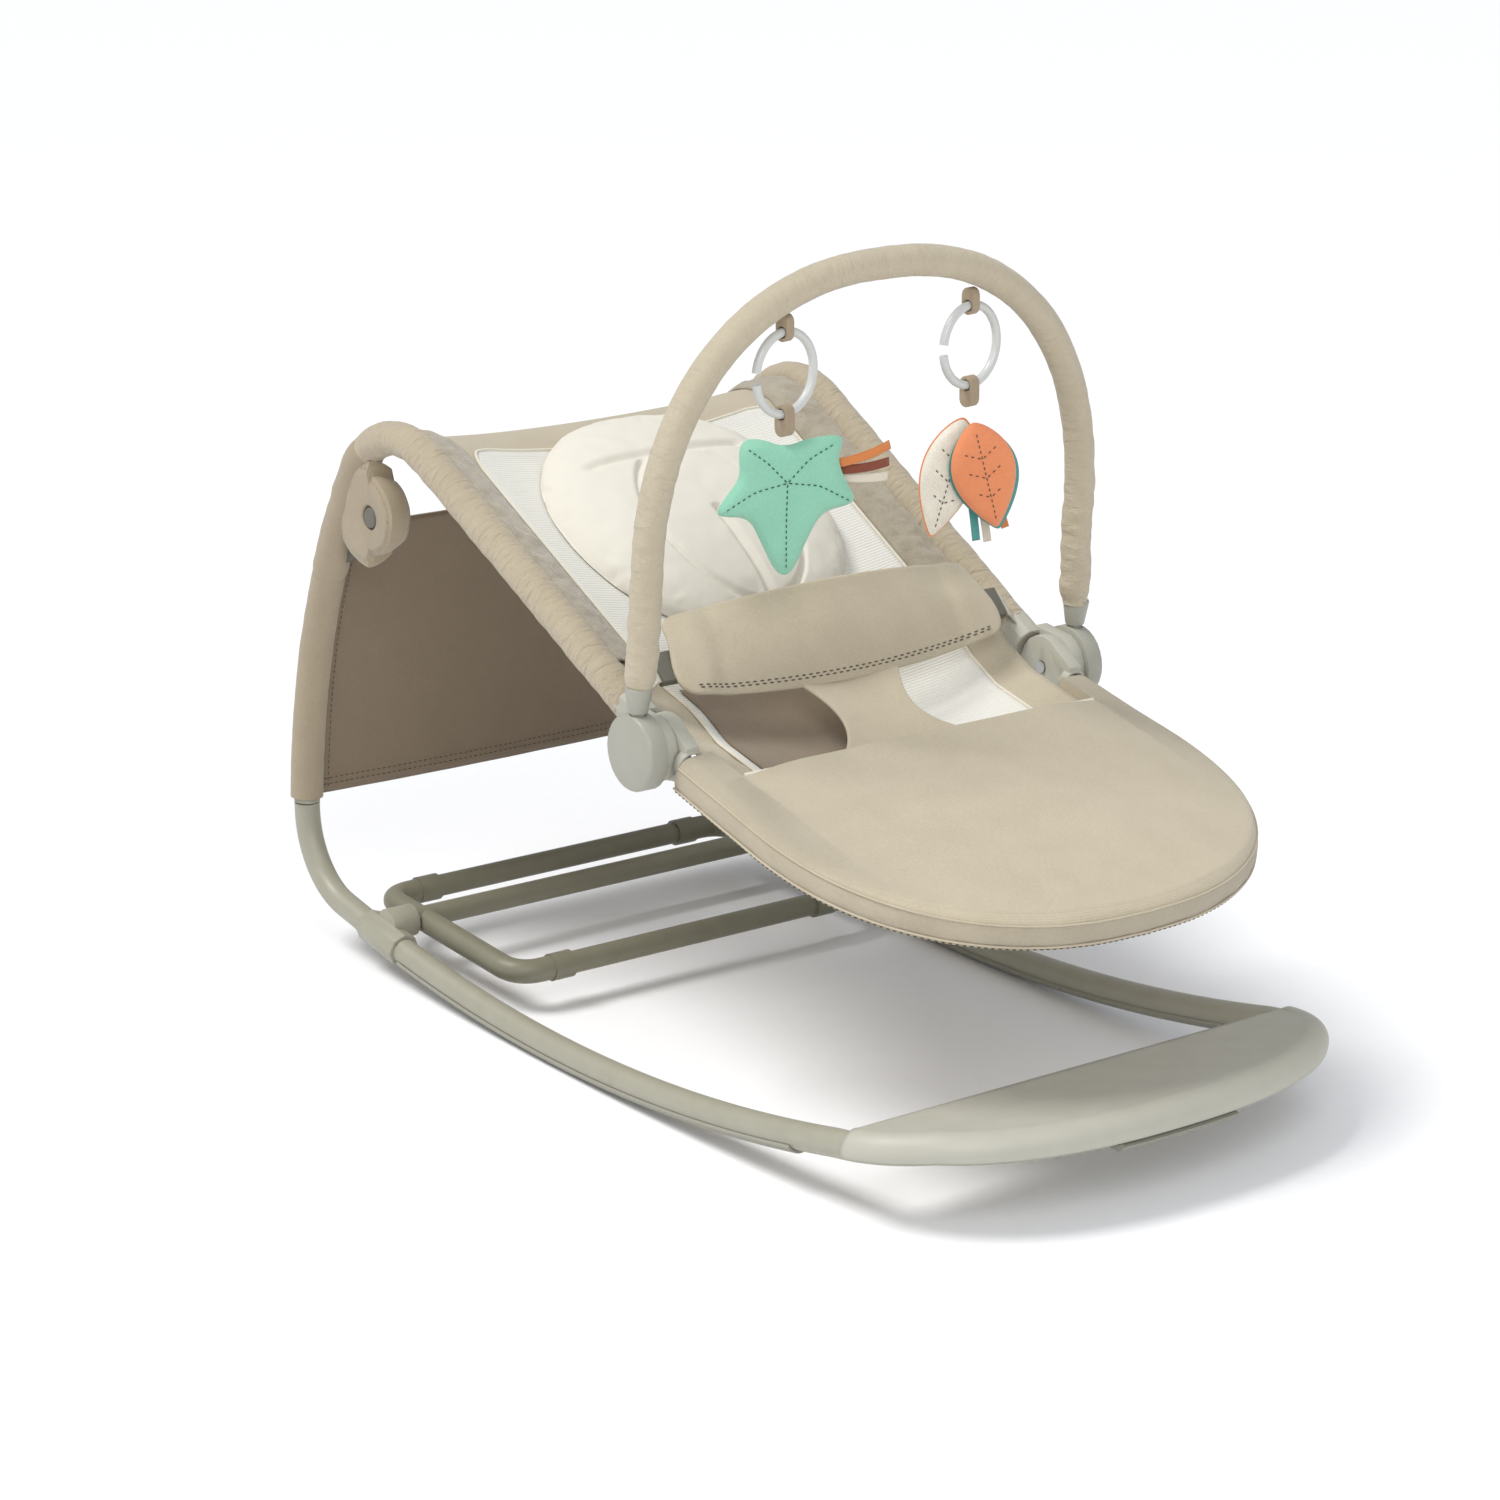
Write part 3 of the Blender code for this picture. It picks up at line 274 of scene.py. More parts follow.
def tube(name: str, line: Sequence[Vector], radius: float, reference: Vector = AXIS_X, columns: int = 28,
         capped: bool = True, relief: Optional[Relief] = None) -> Piece:
    """A round tube along a line.

    Args:
        name: Name of the piece.
        line: Points of the centre line, evenly spaced.
        radius: Radius of the tube.
        reference: A direction that is never along the line.
        columns: Number of faces round it.
        capped: Whether the ends are closed.
        relief: Extra radius at an angle and a distance along, for folds in a sleeve.

    Returns:
        The new object.
    """
    def section(share: float, distance: float) -> tuple:
        """Point of the round section."""
        angle = math.tau * share
        reach = radius + (relief(angle, distance) if relief else 0.0)
        return (reach * math.cos(angle), reach * math.sin(angle))
    return swept(name, line, reference, section, columns, math.tau * radius, capped)


def thicken(piece: Piece, thickness: float, offset: float = 0.0, rounds: int = 0) -> None:
    """Give an open sheet a wall, and round it by subdivision.

    Args:
        piece: The open sheet.
        thickness: Thickness of the wall.
        offset: Where the sheet lies in the wall, from -1 to 1.
        rounds: Levels of subdivision after the wall.
    """
    wall = piece.modifiers.new("wall", "SOLIDIFY")
    wall.thickness = thickness
    wall.offset = offset
    if rounds:
        soften = piece.modifiers.new("soften", "SUBSURF")
        soften.levels = rounds
        soften.render_levels = rounds
    settle(piece)


def settle(piece: Piece) -> None:
    """Apply every modifier, so that the piece's own mesh is final.

    Args:
        piece: The piece, which loses its modifiers.
    """
    graph = bpy.context.evaluated_depsgraph_get()
    graph.update()
    mesh = bpy.data.meshes.new_from_object(piece.evaluated_get(graph))
    old = piece.data
    piece.modifiers.clear()
    piece.data = mesh
    mesh.name = piece.name
    bpy.data.meshes.remove(old)
    mesh.shade_smooth()


def refined(node: str, name: str, edge: float = 0.0007) -> Piece:
    """A copy of a moulded part of the frame with rounded edges and smooth faces.

    Args:
        node: Name of the frame's part.
        name: Name of the new piece, which stands for the part.
        edge: Radius of the rounded edges.

    Returns:
        The new object.
    """
    crease = math.radians(33.0)
    shape = bmesh.new()
    shape.from_mesh(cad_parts[node].data)
    bmesh.ops.remove_doubles(shape, verts=shape.verts, dist=2e-5)
    bmesh.ops.dissolve_limit(shape, angle_limit=math.radians(1.5), verts=shape.verts, edges=shape.edges)
    sharp = [rim for rim in shape.edges
             if len(rim.link_faces) == 2 and rim.calc_face_angle(0.0) > crease]
    bmesh.ops.bevel(shape, geom=sharp, offset=edge, offset_type="OFFSET", segments=2, profile=0.5,
                    affect="EDGES", clamp_overlap=True, material=-1)
    piece = new_piece(name, shape, 38.0)
    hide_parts(node)
    return piece


def join_piece(name: str, members: Sequence[Piece]) -> Piece:
    """Join several pieces of one finish into one object.

    Args:
        name: Name of the joined piece.
        members: The pieces, which are removed.

    Returns:
        The new object.
    """
    shape = bmesh.new()
    for member in members:
        shape.from_mesh(member.data)
    for member in members:
        bpy.data.objects.remove(member, do_unlink=True)
    return new_piece(name, shape)


def stitches(name: str, line: Sequence[Vector], outward: Callable[[Vector], Vector],
             length: float = 0.0030, gap: float = 0.0022, width: float = 0.0009) -> Piece:
    """A row of sewn stitches.

    Args:
        name: Name of the piece.
        line: Points that the seam follows.
        outward: Gives the direction off the cloth at a point.
        length: Length of a stitch.
        gap: Gap between stitches.
        width: Thickness of the thread.

    Returns:
        The new object.
    """
    points = evenly(line, length + gap)
    shape = bmesh.new()
    for before, after in zip(points, points[1:]):
        ahead = (after - before).normalized()
        up = outward(before)
        side = ahead.cross(up).normalized()
        up = side.cross(ahead)
        middle = before.lerp(after, 0.5) + up * width * 0.2
        columns = (side * width, ahead * length, up * width * 0.8)
        turn = Matrix([[column[row] for column in columns] + [middle[row]] for row in range(3)]
                      + [[0.0, 0.0, 0.0, 1.0]])
        bmesh.ops.create_icosphere(shape, subdivisions=1, radius=0.56, matrix=turn)
    return new_piece(name, shape, 80.0)


# ---- the frame's own lines
@dataclass(frozen=True)
class Layout:
    """Driving sizes and lines of the frame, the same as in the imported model."""
    loop_radius: float = 0.011
    half_width: float = 0.215
    low_y: float = 0.056
    low_z: float = 0.0135
    runner_curve: float = 0.295
    runner_end: float = 0.345
    bow_back: float = -0.314
    bow_front: float = -0.4411
    bow_slope: float = 0.16
    bow_exponent: float = 2.4
    bow_top: float = 0.0665
    rear_bend_y: float = 0.370
    rear_bend_z: float = 0.1155
    rear_bend_radius: float = 0.072
    slip_joint_z: float = 0.1215
    upright_arc_radius: float = 0.605
    upright_arc_turn: float = math.radians(27)
    upright_straight: float = 0.031
    top_bend_radius: float = 0.080
    hub_half_width: float = 0.190
    hub_y: float = -0.064
    hub_z: float = 0.2917
    fold_y: float = 0.3225
    fold_z: float = 0.3977
    leg_slope: float = math.radians(12.5)
    arch_tilt: float = math.radians(3.5)
    seat_sag: float = 0.030
    sag_start: float = 0.315
    sag_full: float = 0.45

    def hub(self, x: float = 0.0) -> Vector:
        """A point on the hub axis."""
        return Vector((x, self.hub_y, self.hub_z))

    def runner_z(self, y: float) -> float:
        """Height of the floor loop's centre line at a distance along Y."""
        height = self.low_z + self.runner_curve * (max(y, self.bow_back) - self.low_y) ** 2
        return min(height + self.bow_slope * max(self.bow_back - y, 0.0), self.bow_top)

    def bow(self, count: int = 400) -> list[Vector]:
        """Centre line of the front bow, from its right end round to its left end."""
        depth = self.bow_back - self.bow_front
        return [Vector((x, self.bow_back - out, self.runner_z(self.bow_back - out)))
                for x, out in superellipse(self.half_width, depth, self.bow_exponent, count)]

    def runner(self, side: int, start: float, end: float, step: float = 0.01) -> list[Vector]:
        """Centre line of one runner, forwards between two distances along Y."""
        count = max(2, round((start - end) / step))
        heights = [start + (end - start) * index / count for index in range(count + 1)]
        return [Vector((side * self.half_width, y, self.runner_z(y))) for y in heights]

    def stretches(self) -> tuple:
        """Radius and length of each stretch from the slip joint to the hub; radius 0 is straight."""
        heading = math.pi / 2 + self.upright_arc_turn
        start_y = (self.rear_bend_y + self.rear_bend_radius
                   - self.upright_arc_radius * (1 - math.cos(self.upright_arc_turn))
                   + self.upright_straight * math.cos(heading))
        start_z = (self.slip_joint_z + self.upright_arc_radius * math.sin(self.upright_arc_turn)
                   + self.upright_straight * math.sin(heading))
        to_hub = Vector((self.hub_y - start_y + self.top_bend_radius * math.sin(heading),
                         self.hub_z - start_z - self.top_bend_radius * math.cos(heading)))
        end_heading = (math.atan2(to_hub.y, to_hub.x) % math.tau
                       + math.asin(self.top_bend_radius / to_hub.length))
        return ((self.upright_arc_radius, self.upright_arc_radius * self.upright_arc_turn),
                (0.0, self.upright_straight),
                (self.top_bend_radius, self.top_bend_radius * (end_heading - heading)),
                (0.0, math.sqrt(to_hub.length_squared - self.top_bend_radius ** 2)))

    def length(self) -> float:
        """Distance along the seat frame from the slip joint to the hub."""
        return sum(length for _, length in self.stretches())

    def frame_point(self, distance: float) -> Spot:
        """Follow the seat frame's line.

        Args:
            distance: Distance from the slip joint.

        Returns:
            Y, Z and heading of the line there.
        """
        y = self.rear_bend_y + self.rear_bend_radius
        z = self.slip_joint_z
        heading = math.pi / 2
        for radius, length in self.stretches():
            step = min(distance, length)
            if radius > 0.0:
                turn = step / radius
                y += radius * (math.sin(heading + turn) - math.sin(heading))
                z += radius * (math.cos(heading) - math.cos(heading + turn))
                heading += turn
            else:
                y += step * math.cos(heading)
                z += step * math.sin(heading)
            distance -= step
        return y, z, heading

    def frame_x(self, distance: float) -> float:
        """Distance of the frame's tubes from the middle plane."""
        return self.half_width + (self.hub_half_width - self.half_width) * distance / self.length()

    def frame_line(self, side: int, start: float, end: float, step: float = 0.004) -> list[Vector]:
        """Centre line of an upright or rail.

        Args:
            side: -1 for the left side and 1 for the right one.
            start: First distance along the frame.
            end: Last distance along it.
            step: Wanted distance between the points.

        Returns:
            The points.
        """
        count = max(2, round((end - start) / step))
        line = []
        for index in range(count + 1):
            distance = start + (end - start) * index / count
            y, z, _ = self.frame_point(distance)
            line.append(Vector((side * self.frame_x(distance), y, z)))
        return line

    def leg(self, x: float, forward: float, up: float = 0.0) -> Vector:
        """A point of the leg rest, at a distance forward from the hub axis."""
        return Vector((x, self.hub_y - forward * math.cos(self.leg_slope) - up * math.sin(self.leg_slope),
                       self.hub_z - forward * math.sin(self.leg_slope) + up * math.cos(self.leg_slope)))

    def arch(self, x: float, out: float, ahead: float = 0.0) -> Vector:
        """A point of the toy arch's plane, at a distance out from the hub axis."""
        return Vector((x, self.hub_y - out * math.sin(self.arch_tilt) - ahead * math.cos(self.arch_tilt),
                       self.hub_z + out * math.cos(self.arch_tilt) - ahead * math.sin(self.arch_tilt)))

    def seat_line(self, distance: float) -> Spot:
        """Y, Z and heading of the seat's side line: along the rails, then along the leg rest."""
        if distance < self.length():
            return self.frame_point(distance)
        point = self.leg(0.0, distance - self.length())
        return point.y, point.z, math.pi + self.leg_slope

    def seat(self, distance: float, x: float, half: float, lift: float = 0.0) -> Vector:
        """A point on the sling.

        Args:
            distance: Distance along the side line.
            x: Distance from the middle plane.
            half: Half width of the sling there.
            lift: Height off the cloth.

        Returns:
            The point, which sags between the rails.
        """
        y, z, heading = self.seat_line(distance)
        share = min(abs(x / half), 1.0)
        sag = self.seat_sag * (1 - share ** 2) * smoothstep(self.sag_start, self.sag_full, distance)
        fall = sag - lift
        return Vector((x, y - fall * math.sin(heading), z + fall * math.cos(heading)))


LAYOUT = Layout()


# ---- shader building
class Nodes:
    """Adds nodes to a node tree and wires them."""

    def __init__(self, tree: bpy.types.NodeTree) -> None:
        """Keep the tree that the nodes go in."""
        self.tree = tree

    def link(self, start: bpy.types.NodeSocket, end: bpy.types.NodeSocket) -> None:
        """Wire an output to an input."""
        self.tree.links.new(start, end)

    def add(self, kind: str, inputs: Optional[dict] = None, **settings: object) -> bpy.types.Node:
        """Add a node.

        Args:
            kind: Blender's name of the node type.
            inputs: Value or output socket for each named or numbered input.
            **settings: The node's own settings.

        Returns:
            The new node.
        """
        node = self.tree.nodes.new(kind)
        for name, value in settings.items():
            setattr(node, name, value)
        for key, value in (inputs or {}).items():
            if isinstance(value, bpy.types.NodeSocket):
                self.link(value, node.inputs[key])
            else:
                node.inputs[key].default_value = value
        return node

    def math(self, operation: str, first: object, second: object = 0.0) -> bpy.types.NodeSocket:
        """Add a Math node and return its output."""
        return self.add("ShaderNodeMath", {0: first, 1: second}, operation=operation).outputs[0]

    def blend(self, factor: object, first: Colour, second: object) -> bpy.types.NodeSocket:
        """Add a Mix node for colours and return its output."""
        mix = self.add("ShaderNodeMix", data_type="RGBA")
        colours = [(*first, 1.0), second if isinstance(second, bpy.types.NodeSocket) else (*second, 1.0)]
        for socket, value in zip((mix.inputs[0], mix.inputs[6], mix.inputs[7]), [factor] + colours):
            if isinstance(value, bpy.types.NodeSocket):
                self.link(value, socket)
            else:
                socket.default_value = value
        return mix.outputs[2]


def new_group(name: str, inputs: dict, outputs: Sequence[str]) -> tuple[Nodes, dict, bpy.types.Node]:
    """Start a shader node group.

    Args:
        name: Name of the group.
        inputs: Default value of each input; "Vector" is a vector input.
        outputs: Names of the outputs, all of them values.

    Returns:
        Its node builder, its input sockets by name, and its output node.
    """
    group = bpy.data.node_groups.new(name, "ShaderNodeTree")
    for label, value in inputs.items():
        kind = "NodeSocketVector" if label == "Vector" else "NodeSocketFloat"
        socket = group.interface.new_socket(label, in_out="INPUT", socket_type=kind)
        if label != "Vector":
            socket.default_value = value
    for label in outputs:
        group.interface.new_socket(label, in_out="OUTPUT", socket_type="NodeSocketFloat")
    nodes = Nodes(group)
    start = group.nodes.new("NodeGroupInput")
    return nodes, {label: start.outputs[label] for label in inputs}, group.nodes.new("NodeGroupOutput")


class Effects:
    """Surface effects that several finishes share, each a node group that is built once."""

    @staticmethod
    def get(name: str) -> bpy.types.NodeTree:
        """Return the group of this name, and build it first if needed."""
        return bpy.data.node_groups.get(name) or getattr(Effects, f"build_{name}")()

    @staticmethod
    def build_weave() -> bpy.types.NodeTree:
        """Plain weave: threads that pass over and under each other, at a pitch in metres."""
        nodes, given, end = new_group("weave", {"Vector": None, "Pitch": 0.0012}, ("Height", "Gap"))
        parts = nodes.add("ShaderNodeSeparateXYZ", {0: given["Vector"]})
        cells = [nodes.math("DIVIDE", parts.outputs[index], given["Pitch"]) for index in range(2)]
        crowns = [nodes.math("ABSOLUTE", nodes.math("SINE", nodes.math("MULTIPLY", cell, math.pi)))
                  for cell in cells]
        steps = nodes.math("ADD", *[nodes.math("FLOOR", cell) for cell in cells])
        over = nodes.math("ABSOLUTE", nodes.math("MODULO", steps, 2.0))
        under = nodes.math("SUBTRACT", 1.0, over)
        height = nodes.math("ADD", nodes.math("MULTIPLY", crowns[0], over),
                            nodes.math("MULTIPLY", crowns[1], under))
        gap = nodes.math("SUBTRACT", 1.0, nodes.math("MULTIPLY", *crowns))
        nodes.link(height, end.inputs["Height"])
        nodes.link(gap, end.inputs["Gap"])
        return nodes.tree

    @staticmethod
    def build_mottle() -> bpy.types.NodeTree:
        """Soft unevenness of dye, dust and light pressure marks."""
        nodes, given, end = new_group("mottle", {"Vector": None, "Scale": 40.0}, ("Broad", "Fine"))
        broad = nodes.add("ShaderNodeTexNoise", {"Vector": given["Vector"], "Scale": given["Scale"],
                                                 "Detail": 3.0})
        fine_scale = nodes.math("MULTIPLY", given["Scale"], 14.0)
        fine = nodes.add("ShaderNodeTexNoise", {"Vector": given["Vector"], "Scale": fine_scale,
                                                "Detail": 2.0})
        nodes.link(broad.outputs[0], end.inputs["Broad"])
        nodes.link(fine.outputs[0], end.inputs["Fine"])
        return nodes.tree

    @staticmethod
    def build_ribs() -> bpy.types.NodeTree:
        """Fine ribs of a knitted mesh panel, at a pitch in metres, with small openings."""
        nodes, given, end = new_group("ribs", {"Vector": None, "Pitch": 0.003}, ("Height", "Gap"))
        parts = nodes.add("ShaderNodeSeparateXYZ", {0: given["Vector"]})
        turns = [nodes.math("MULTIPLY", nodes.math("DIVIDE", parts.outputs[index], given["Pitch"]), math.tau)
                 for index in range(2)]
        wale = nodes.math("SINE", turns[1])
        hole = nodes.math("MULTIPLY", nodes.math("SINE", nodes.math("MULTIPLY", turns[0], 1.6)), wale)
        nodes.link(nodes.math("ADD", nodes.math("MULTIPLY", wale, 0.5), 0.5), end.inputs["Height"])
        nodes.link(nodes.math("GREATER_THAN", hole, 0.72), end.inputs["Gap"])
        return nodes.tree

    @staticmethod
    def build_crush() -> bpy.types.NodeTree:
        """Creases of cloth that is bunched along one direction of its UV map."""
        nodes, given, end = new_group("crush", {"Vector": None, "Length": 0.012}, ("Height",))
        parts = nodes.add("ShaderNodeSeparateXYZ", {0: given["Vector"]})
        across = nodes.math("DIVIDE", nodes.math("MULTIPLY", parts.outputs[0], 0.35), given["Length"])
        along = nodes.math("DIVIDE", parts.outputs[1], given["Length"])
        bunched = nodes.add("ShaderNodeCombineXYZ", {0: across, 1: along})
        folds = nodes.add("ShaderNodeTexNoise", {"Vector": bunched.outputs[0], "Scale": 1.0, "Detail": 3.0,
                                                 "Distortion": 0.6})
        nodes.link(folds.outputs[0], end.inputs["Height"])
        return nodes.tree


def new_material(name: str) -> tuple[bpy.types.Material, Nodes, bpy.types.Node]:
    """Make a material and return it with its node builder and its Principled shader."""
    material = bpy.data.materials.new(name)
    material.use_nodes = True
    return material, Nodes(material.node_tree), material.node_tree.nodes["Principled BSDF"]


class Knit(Enum):
    """How a cloth is made."""
    WOVEN = "weave"
    RIBBED = "ribs"
    PILE = "pile"


@dataclass(frozen=True)
class Cloth:
    """Woven, ribbed or short-pile cloth, patterned in the UV map's metres."""
    name: str
    colour: Colour
    shade: Colour
    knit: Knit = Knit.WOVEN
    pitch: float = 0.0013
    relief: float = 0.00016
    thread_contrast: float = 0.25
    mottle: float = 0.35
    mottle_scale: float = 30.0
    crush: float = 0.0
    crush_length: float = 0.012
    roughness: float = 0.9
    sheen: float = 0.25

    def material(self) -> bpy.types.Material:
        """Build the cloth's material, or return it if it is there."""
        if self.name in bpy.data.materials:
            return bpy.data.materials[self.name]
        material, nodes, shader = new_material(self.name)
        flat = nodes.add("ShaderNodeTexCoord")
        mottle = nodes.add("ShaderNodeGroup", node_tree=Effects.get("mottle"))
        nodes.link(flat.outputs["Object"], mottle.inputs["Vector"])
        mottle.inputs["Scale"].default_value = self.mottle_scale
        if self.knit is Knit.PILE:
            fibres = nodes.add("ShaderNodeTexNoise", {"Vector": flat.outputs["Object"], "Scale": 900.0,
                                                      "Detail": 3.0, "Roughness": 0.7})
            height = fibres.outputs[0]
            gap = nodes.math("SUBTRACT", 1.0, fibres.outputs[0])
        else:
            threads = nodes.add("ShaderNodeGroup", node_tree=Effects.get(self.knit.value))
            nodes.link(flat.outputs["UV"], threads.inputs["Vector"])
            threads.inputs["Pitch"].default_value = self.pitch
            height = threads.outputs["Height"]
            gap = threads.outputs["Gap"]
        uneven = nodes.math("MULTIPLY", nodes.math("SUBTRACT", mottle.outputs["Broad"], 0.4), self.mottle)
        speckle = nodes.math("MULTIPLY", nodes.math("SUBTRACT", mottle.outputs["Fine"], 0.5), self.mottle)
        dark = nodes.math("ADD", nodes.math("MULTIPLY", gap, self.thread_contrast),
                          nodes.math("ADD", uneven, speckle))
        factor = nodes.add("ShaderNodeClamp", {"Value": dark}).outputs[0]
        nodes.link(nodes.blend(factor, self.colour, self.shade), shader.inputs["Base Color"])
        rough = nodes.math("ADD", nodes.math("MULTIPLY", gap, 0.08), self.roughness - 0.04)
        nodes.link(rough, shader.inputs["Roughness"])
        raised = nodes.add("ShaderNodeBump", {"Height": height, "Distance": self.relief, "Strength": 1.0})
        if self.crush > 0.0:
            folds = nodes.add("ShaderNodeGroup", node_tree=Effects.get("crush"))
            nodes.link(flat.outputs["UV"], folds.inputs["Vector"])
            folds.inputs["Length"].default_value = self.crush_length
            soft = nodes.add("ShaderNodeBump", {"Height": folds.outputs["Height"], "Distance": self.crush,
                                                "Strength": 1.0})
            nodes.link(soft.outputs[0], raised.inputs["Normal"])
        nodes.link(raised.outputs[0], shader.inputs["Normal"])
        shader.inputs["Sheen Weight"].default_value = self.sheen
        shader.inputs["Sheen Roughness"].default_value = 0.5
        shader.inputs["Specular IOR Level"].default_value = 0.25
        return material


@dataclass(frozen=True)
class Hard:
    """Painted metal, moulded plastic, rubber or plated steel, with a fine grain."""
    name: str
    colour: Colour
    shade: Colour
    roughness: float = 0.45
    metallic: float = 0.0
    grain: float = 0.00004
    grain_scale: float = 60.0
    coat: float = 0.0

    def material(self) -> bpy.types.Material:
        """Build the finish's material, or return it if it is there."""
        if self.name in bpy.data.materials:
            return bpy.data.materials[self.name]
        material, nodes, shader = new_material(self.name)
        flat = nodes.add("ShaderNodeTexCoord")
        mottle = nodes.add("ShaderNodeGroup", node_tree=Effects.get("mottle"))
        nodes.link(flat.outputs["Object"], mottle.inputs["Vector"])
        mottle.inputs["Scale"].default_value = self.grain_scale
        uneven = nodes.math("MULTIPLY", nodes.math("SUBTRACT", mottle.outputs["Broad"], 0.35), 0.9)
        factor = nodes.add("ShaderNodeClamp", {"Value": uneven}).outputs[0]
        nodes.link(nodes.blend(factor, self.colour, self.shade), shader.inputs["Base Color"])
        rough = nodes.math("ADD", nodes.math("MULTIPLY", mottle.outputs["Broad"], 0.12),
                           self.roughness - 0.06)
        nodes.link(rough, shader.inputs["Roughness"])
        raised = nodes.add("ShaderNodeBump", {"Height": mottle.outputs["Fine"], "Distance": self.grain,
                                              "Strength": 1.0})
        nodes.link(raised.outputs[0], shader.inputs["Normal"])
        shader.inputs["Metallic"].default_value = self.metallic
        shader.inputs["Coat Weight"].default_value = self.coat
        return material


TAUPE = Cloth("taupe_canvas", linear(197, 186, 163), linear(158, 144, 121))
TAUPE_CRUSHED = Cloth("taupe_canvas_bunched", linear(187, 174, 150), linear(158, 142, 118),
                      crush=0.0035, crush_length=0.006)
TAUPE_SLEEVE = Cloth("taupe_sleeve", linear(194, 183, 160), linear(158, 144, 121),
                     crush=0.0022, crush_length=0.007)
REAR = Cloth("rear_canvas", linear(170, 156, 133), linear(138, 124, 103), crush=0.0010, crush_length=0.012)
# Darker taupe: the rear panel's own cloth, and also painted shade on the patch in the left leg opening.
REAR_LINING_AND_PAINTED_SHADE = Cloth("rear_lining_and_painted_shade", linear(140, 124, 104), linear(108, 94, 77), mottle=0.25)
PLUSH_TAUPE = Cloth("taupe_plush", linear(184, 173, 152), linear(150, 138, 117), knit=Knit.PILE,
                    relief=0.0012, thread_contrast=0.7, mottle=1.3, mottle_scale=70.0, sheen=0.6)
IVORY = Cloth("ivory_plush", linear(238, 231, 212), linear(214, 204, 180), knit=Knit.PILE,
              relief=0.0005, thread_contrast=0.35, mottle=0.4, mottle_scale=26.0, sheen=0.5)
MESH_PANEL = Cloth("ribbed_mesh", linear(226, 224, 216), linear(172, 168, 158), knit=Knit.RIBBED,
                   pitch=0.0030, relief=0.0004, thread_contrast=0.45, mottle=0.15)
PIPING = Cloth("ivory_piping", linear(236, 230, 213), linear(205, 196, 175), pitch=0.0009)
STAR_CLOTH = Cloth("green_knit", linear(146, 203, 177), linear(108, 166, 141), knit=Knit.PILE,
                   relief=0.0003, thread_contrast=0.3, mottle=0.3, sheen=0.4)
ORANGE_CLOTH = Cloth("orange_knit", linear(231, 145, 101), linear(196, 108, 68), knit=Knit.PILE,
                     relief=0.0003, thread_contrast=0.3, mottle=0.3, sheen=0.4)
CREAM_CLOTH = Cloth("cream_knit", linear(236, 230, 216), linear(192, 184, 168), knit=Knit.PILE,
                    relief=0.0003, thread_contrast=0.35, mottle=0.8, mottle_scale=60.0, sheen=0.3)
TEAL_CLOTH = Cloth("teal_satin", linear(88, 166, 160), linear(60, 128, 124), pitch=0.0008, roughness=0.6)
RIBBON_ORANGE = Cloth("orange_satin", linear(222, 136, 74), linear(190, 104, 52), pitch=0.0008,
                      roughness=0.55)
RIBBON_BROWN = Cloth("brown_satin", linear(140, 72, 48), linear(104, 52, 36), pitch=0.0008, roughness=0.55)
RIBBON_CREAM = Cloth("cream_satin", linear(232, 222, 204), linear(205, 192, 170), pitch=0.0008,
                     roughness=0.6)
TAPE = Cloth("taupe_tape", linear(170, 152, 128), linear(128, 110, 90), pitch=0.0009)
WEBBING = Cloth("pale_webbing", linear(222, 216, 200), linear(160, 152, 136), pitch=0.0016, relief=0.0003,
                thread_contrast=0.5)
THREAD_DARK = Cloth("dark_thread", linear(92, 82, 68), linear(66, 58, 47), pitch=0.0006)
THREAD_TONAL = Cloth("taupe_thread", linear(168, 152, 126), linear(130, 114, 92), pitch=0.0006)
THREAD_GREEN = Cloth("deep_green_thread", linear(38, 84, 66), linear(28, 66, 52), pitch=0.0006)
PAINT = Hard("sage_powder_coat", linear(160, 157, 141), linear(146, 143, 127), roughness=0.42,
             grain=0.00003)
PAINT_STAND = Hard("deep_sage_powder_coat", linear(128, 125, 107), linear(114, 111, 94), roughness=0.45)
MOULDED = Hard("sage_moulding", linear(178, 176, 163), linear(166, 164, 151), roughness=0.5,
               grain_scale=40.0)
MOULDED_DISC = Hard("hub_moulding", linear(160, 159, 147), linear(150, 149, 137), roughness=0.42,
                    grain_scale=40.0, coat=0.08)
MOULDED_DARK = Hard("dark_moulding", linear(104, 101, 90), linear(88, 85, 75), roughness=0.55)
RUBBER = Hard("grip_rubber", linear(150, 147, 132), linear(132, 129, 115), roughness=0.75, grain=0.00012)
STEEL = Hard("plated_steel", linear(190, 190, 188), linear(168, 168, 165), roughness=0.3, metallic=1.0)
RING_PLASTIC = Hard("ring_plastic", linear(205, 206, 202), linear(194, 195, 191), roughness=0.35, coat=0.2)
FLOOR_PAINT = Hard("studio_floor", linear(250, 250, 252), linear(246, 246, 249), roughness=0.9, grain=0.0)


def place_piece(piece: Piece, body: str, finish: object,
                stands_for: Sequence[str] = ()) -> Piece:
    """Dress a piece, fasten it to a body and report it.

    Args:
        piece: The finished piece.
        body: Body that it moves with.
        finish: Cloth or Hard finish.
        stands_for: Parts of the frame that it replaces.

    Returns:
        The piece.
    """
    dress(piece, finish, stands_for)
    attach(piece, body)
    LOG.info("%s rides on %s", piece.name, body)
    return piece


def bend_piece(piece: Piece, bodies: tuple[str, str],
               finish: object, stands_for: Sequence[str] = ()) -> Piece:
    """Dress a piece that crosses a joint between two bodies, and bake it in place; it is fastened to neither
    body.

    Args:
        piece: The finished piece.
        bodies: The two bodies.
        finish: Cloth or Hard finish.
        stands_for: Parts of the frame that it replaces.

    Returns:
        The piece.
    """
    dress(piece, finish, stands_for)
    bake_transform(piece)
    LOG.info("%s bends between %s and %s", piece.name, *bodies)
    return piece


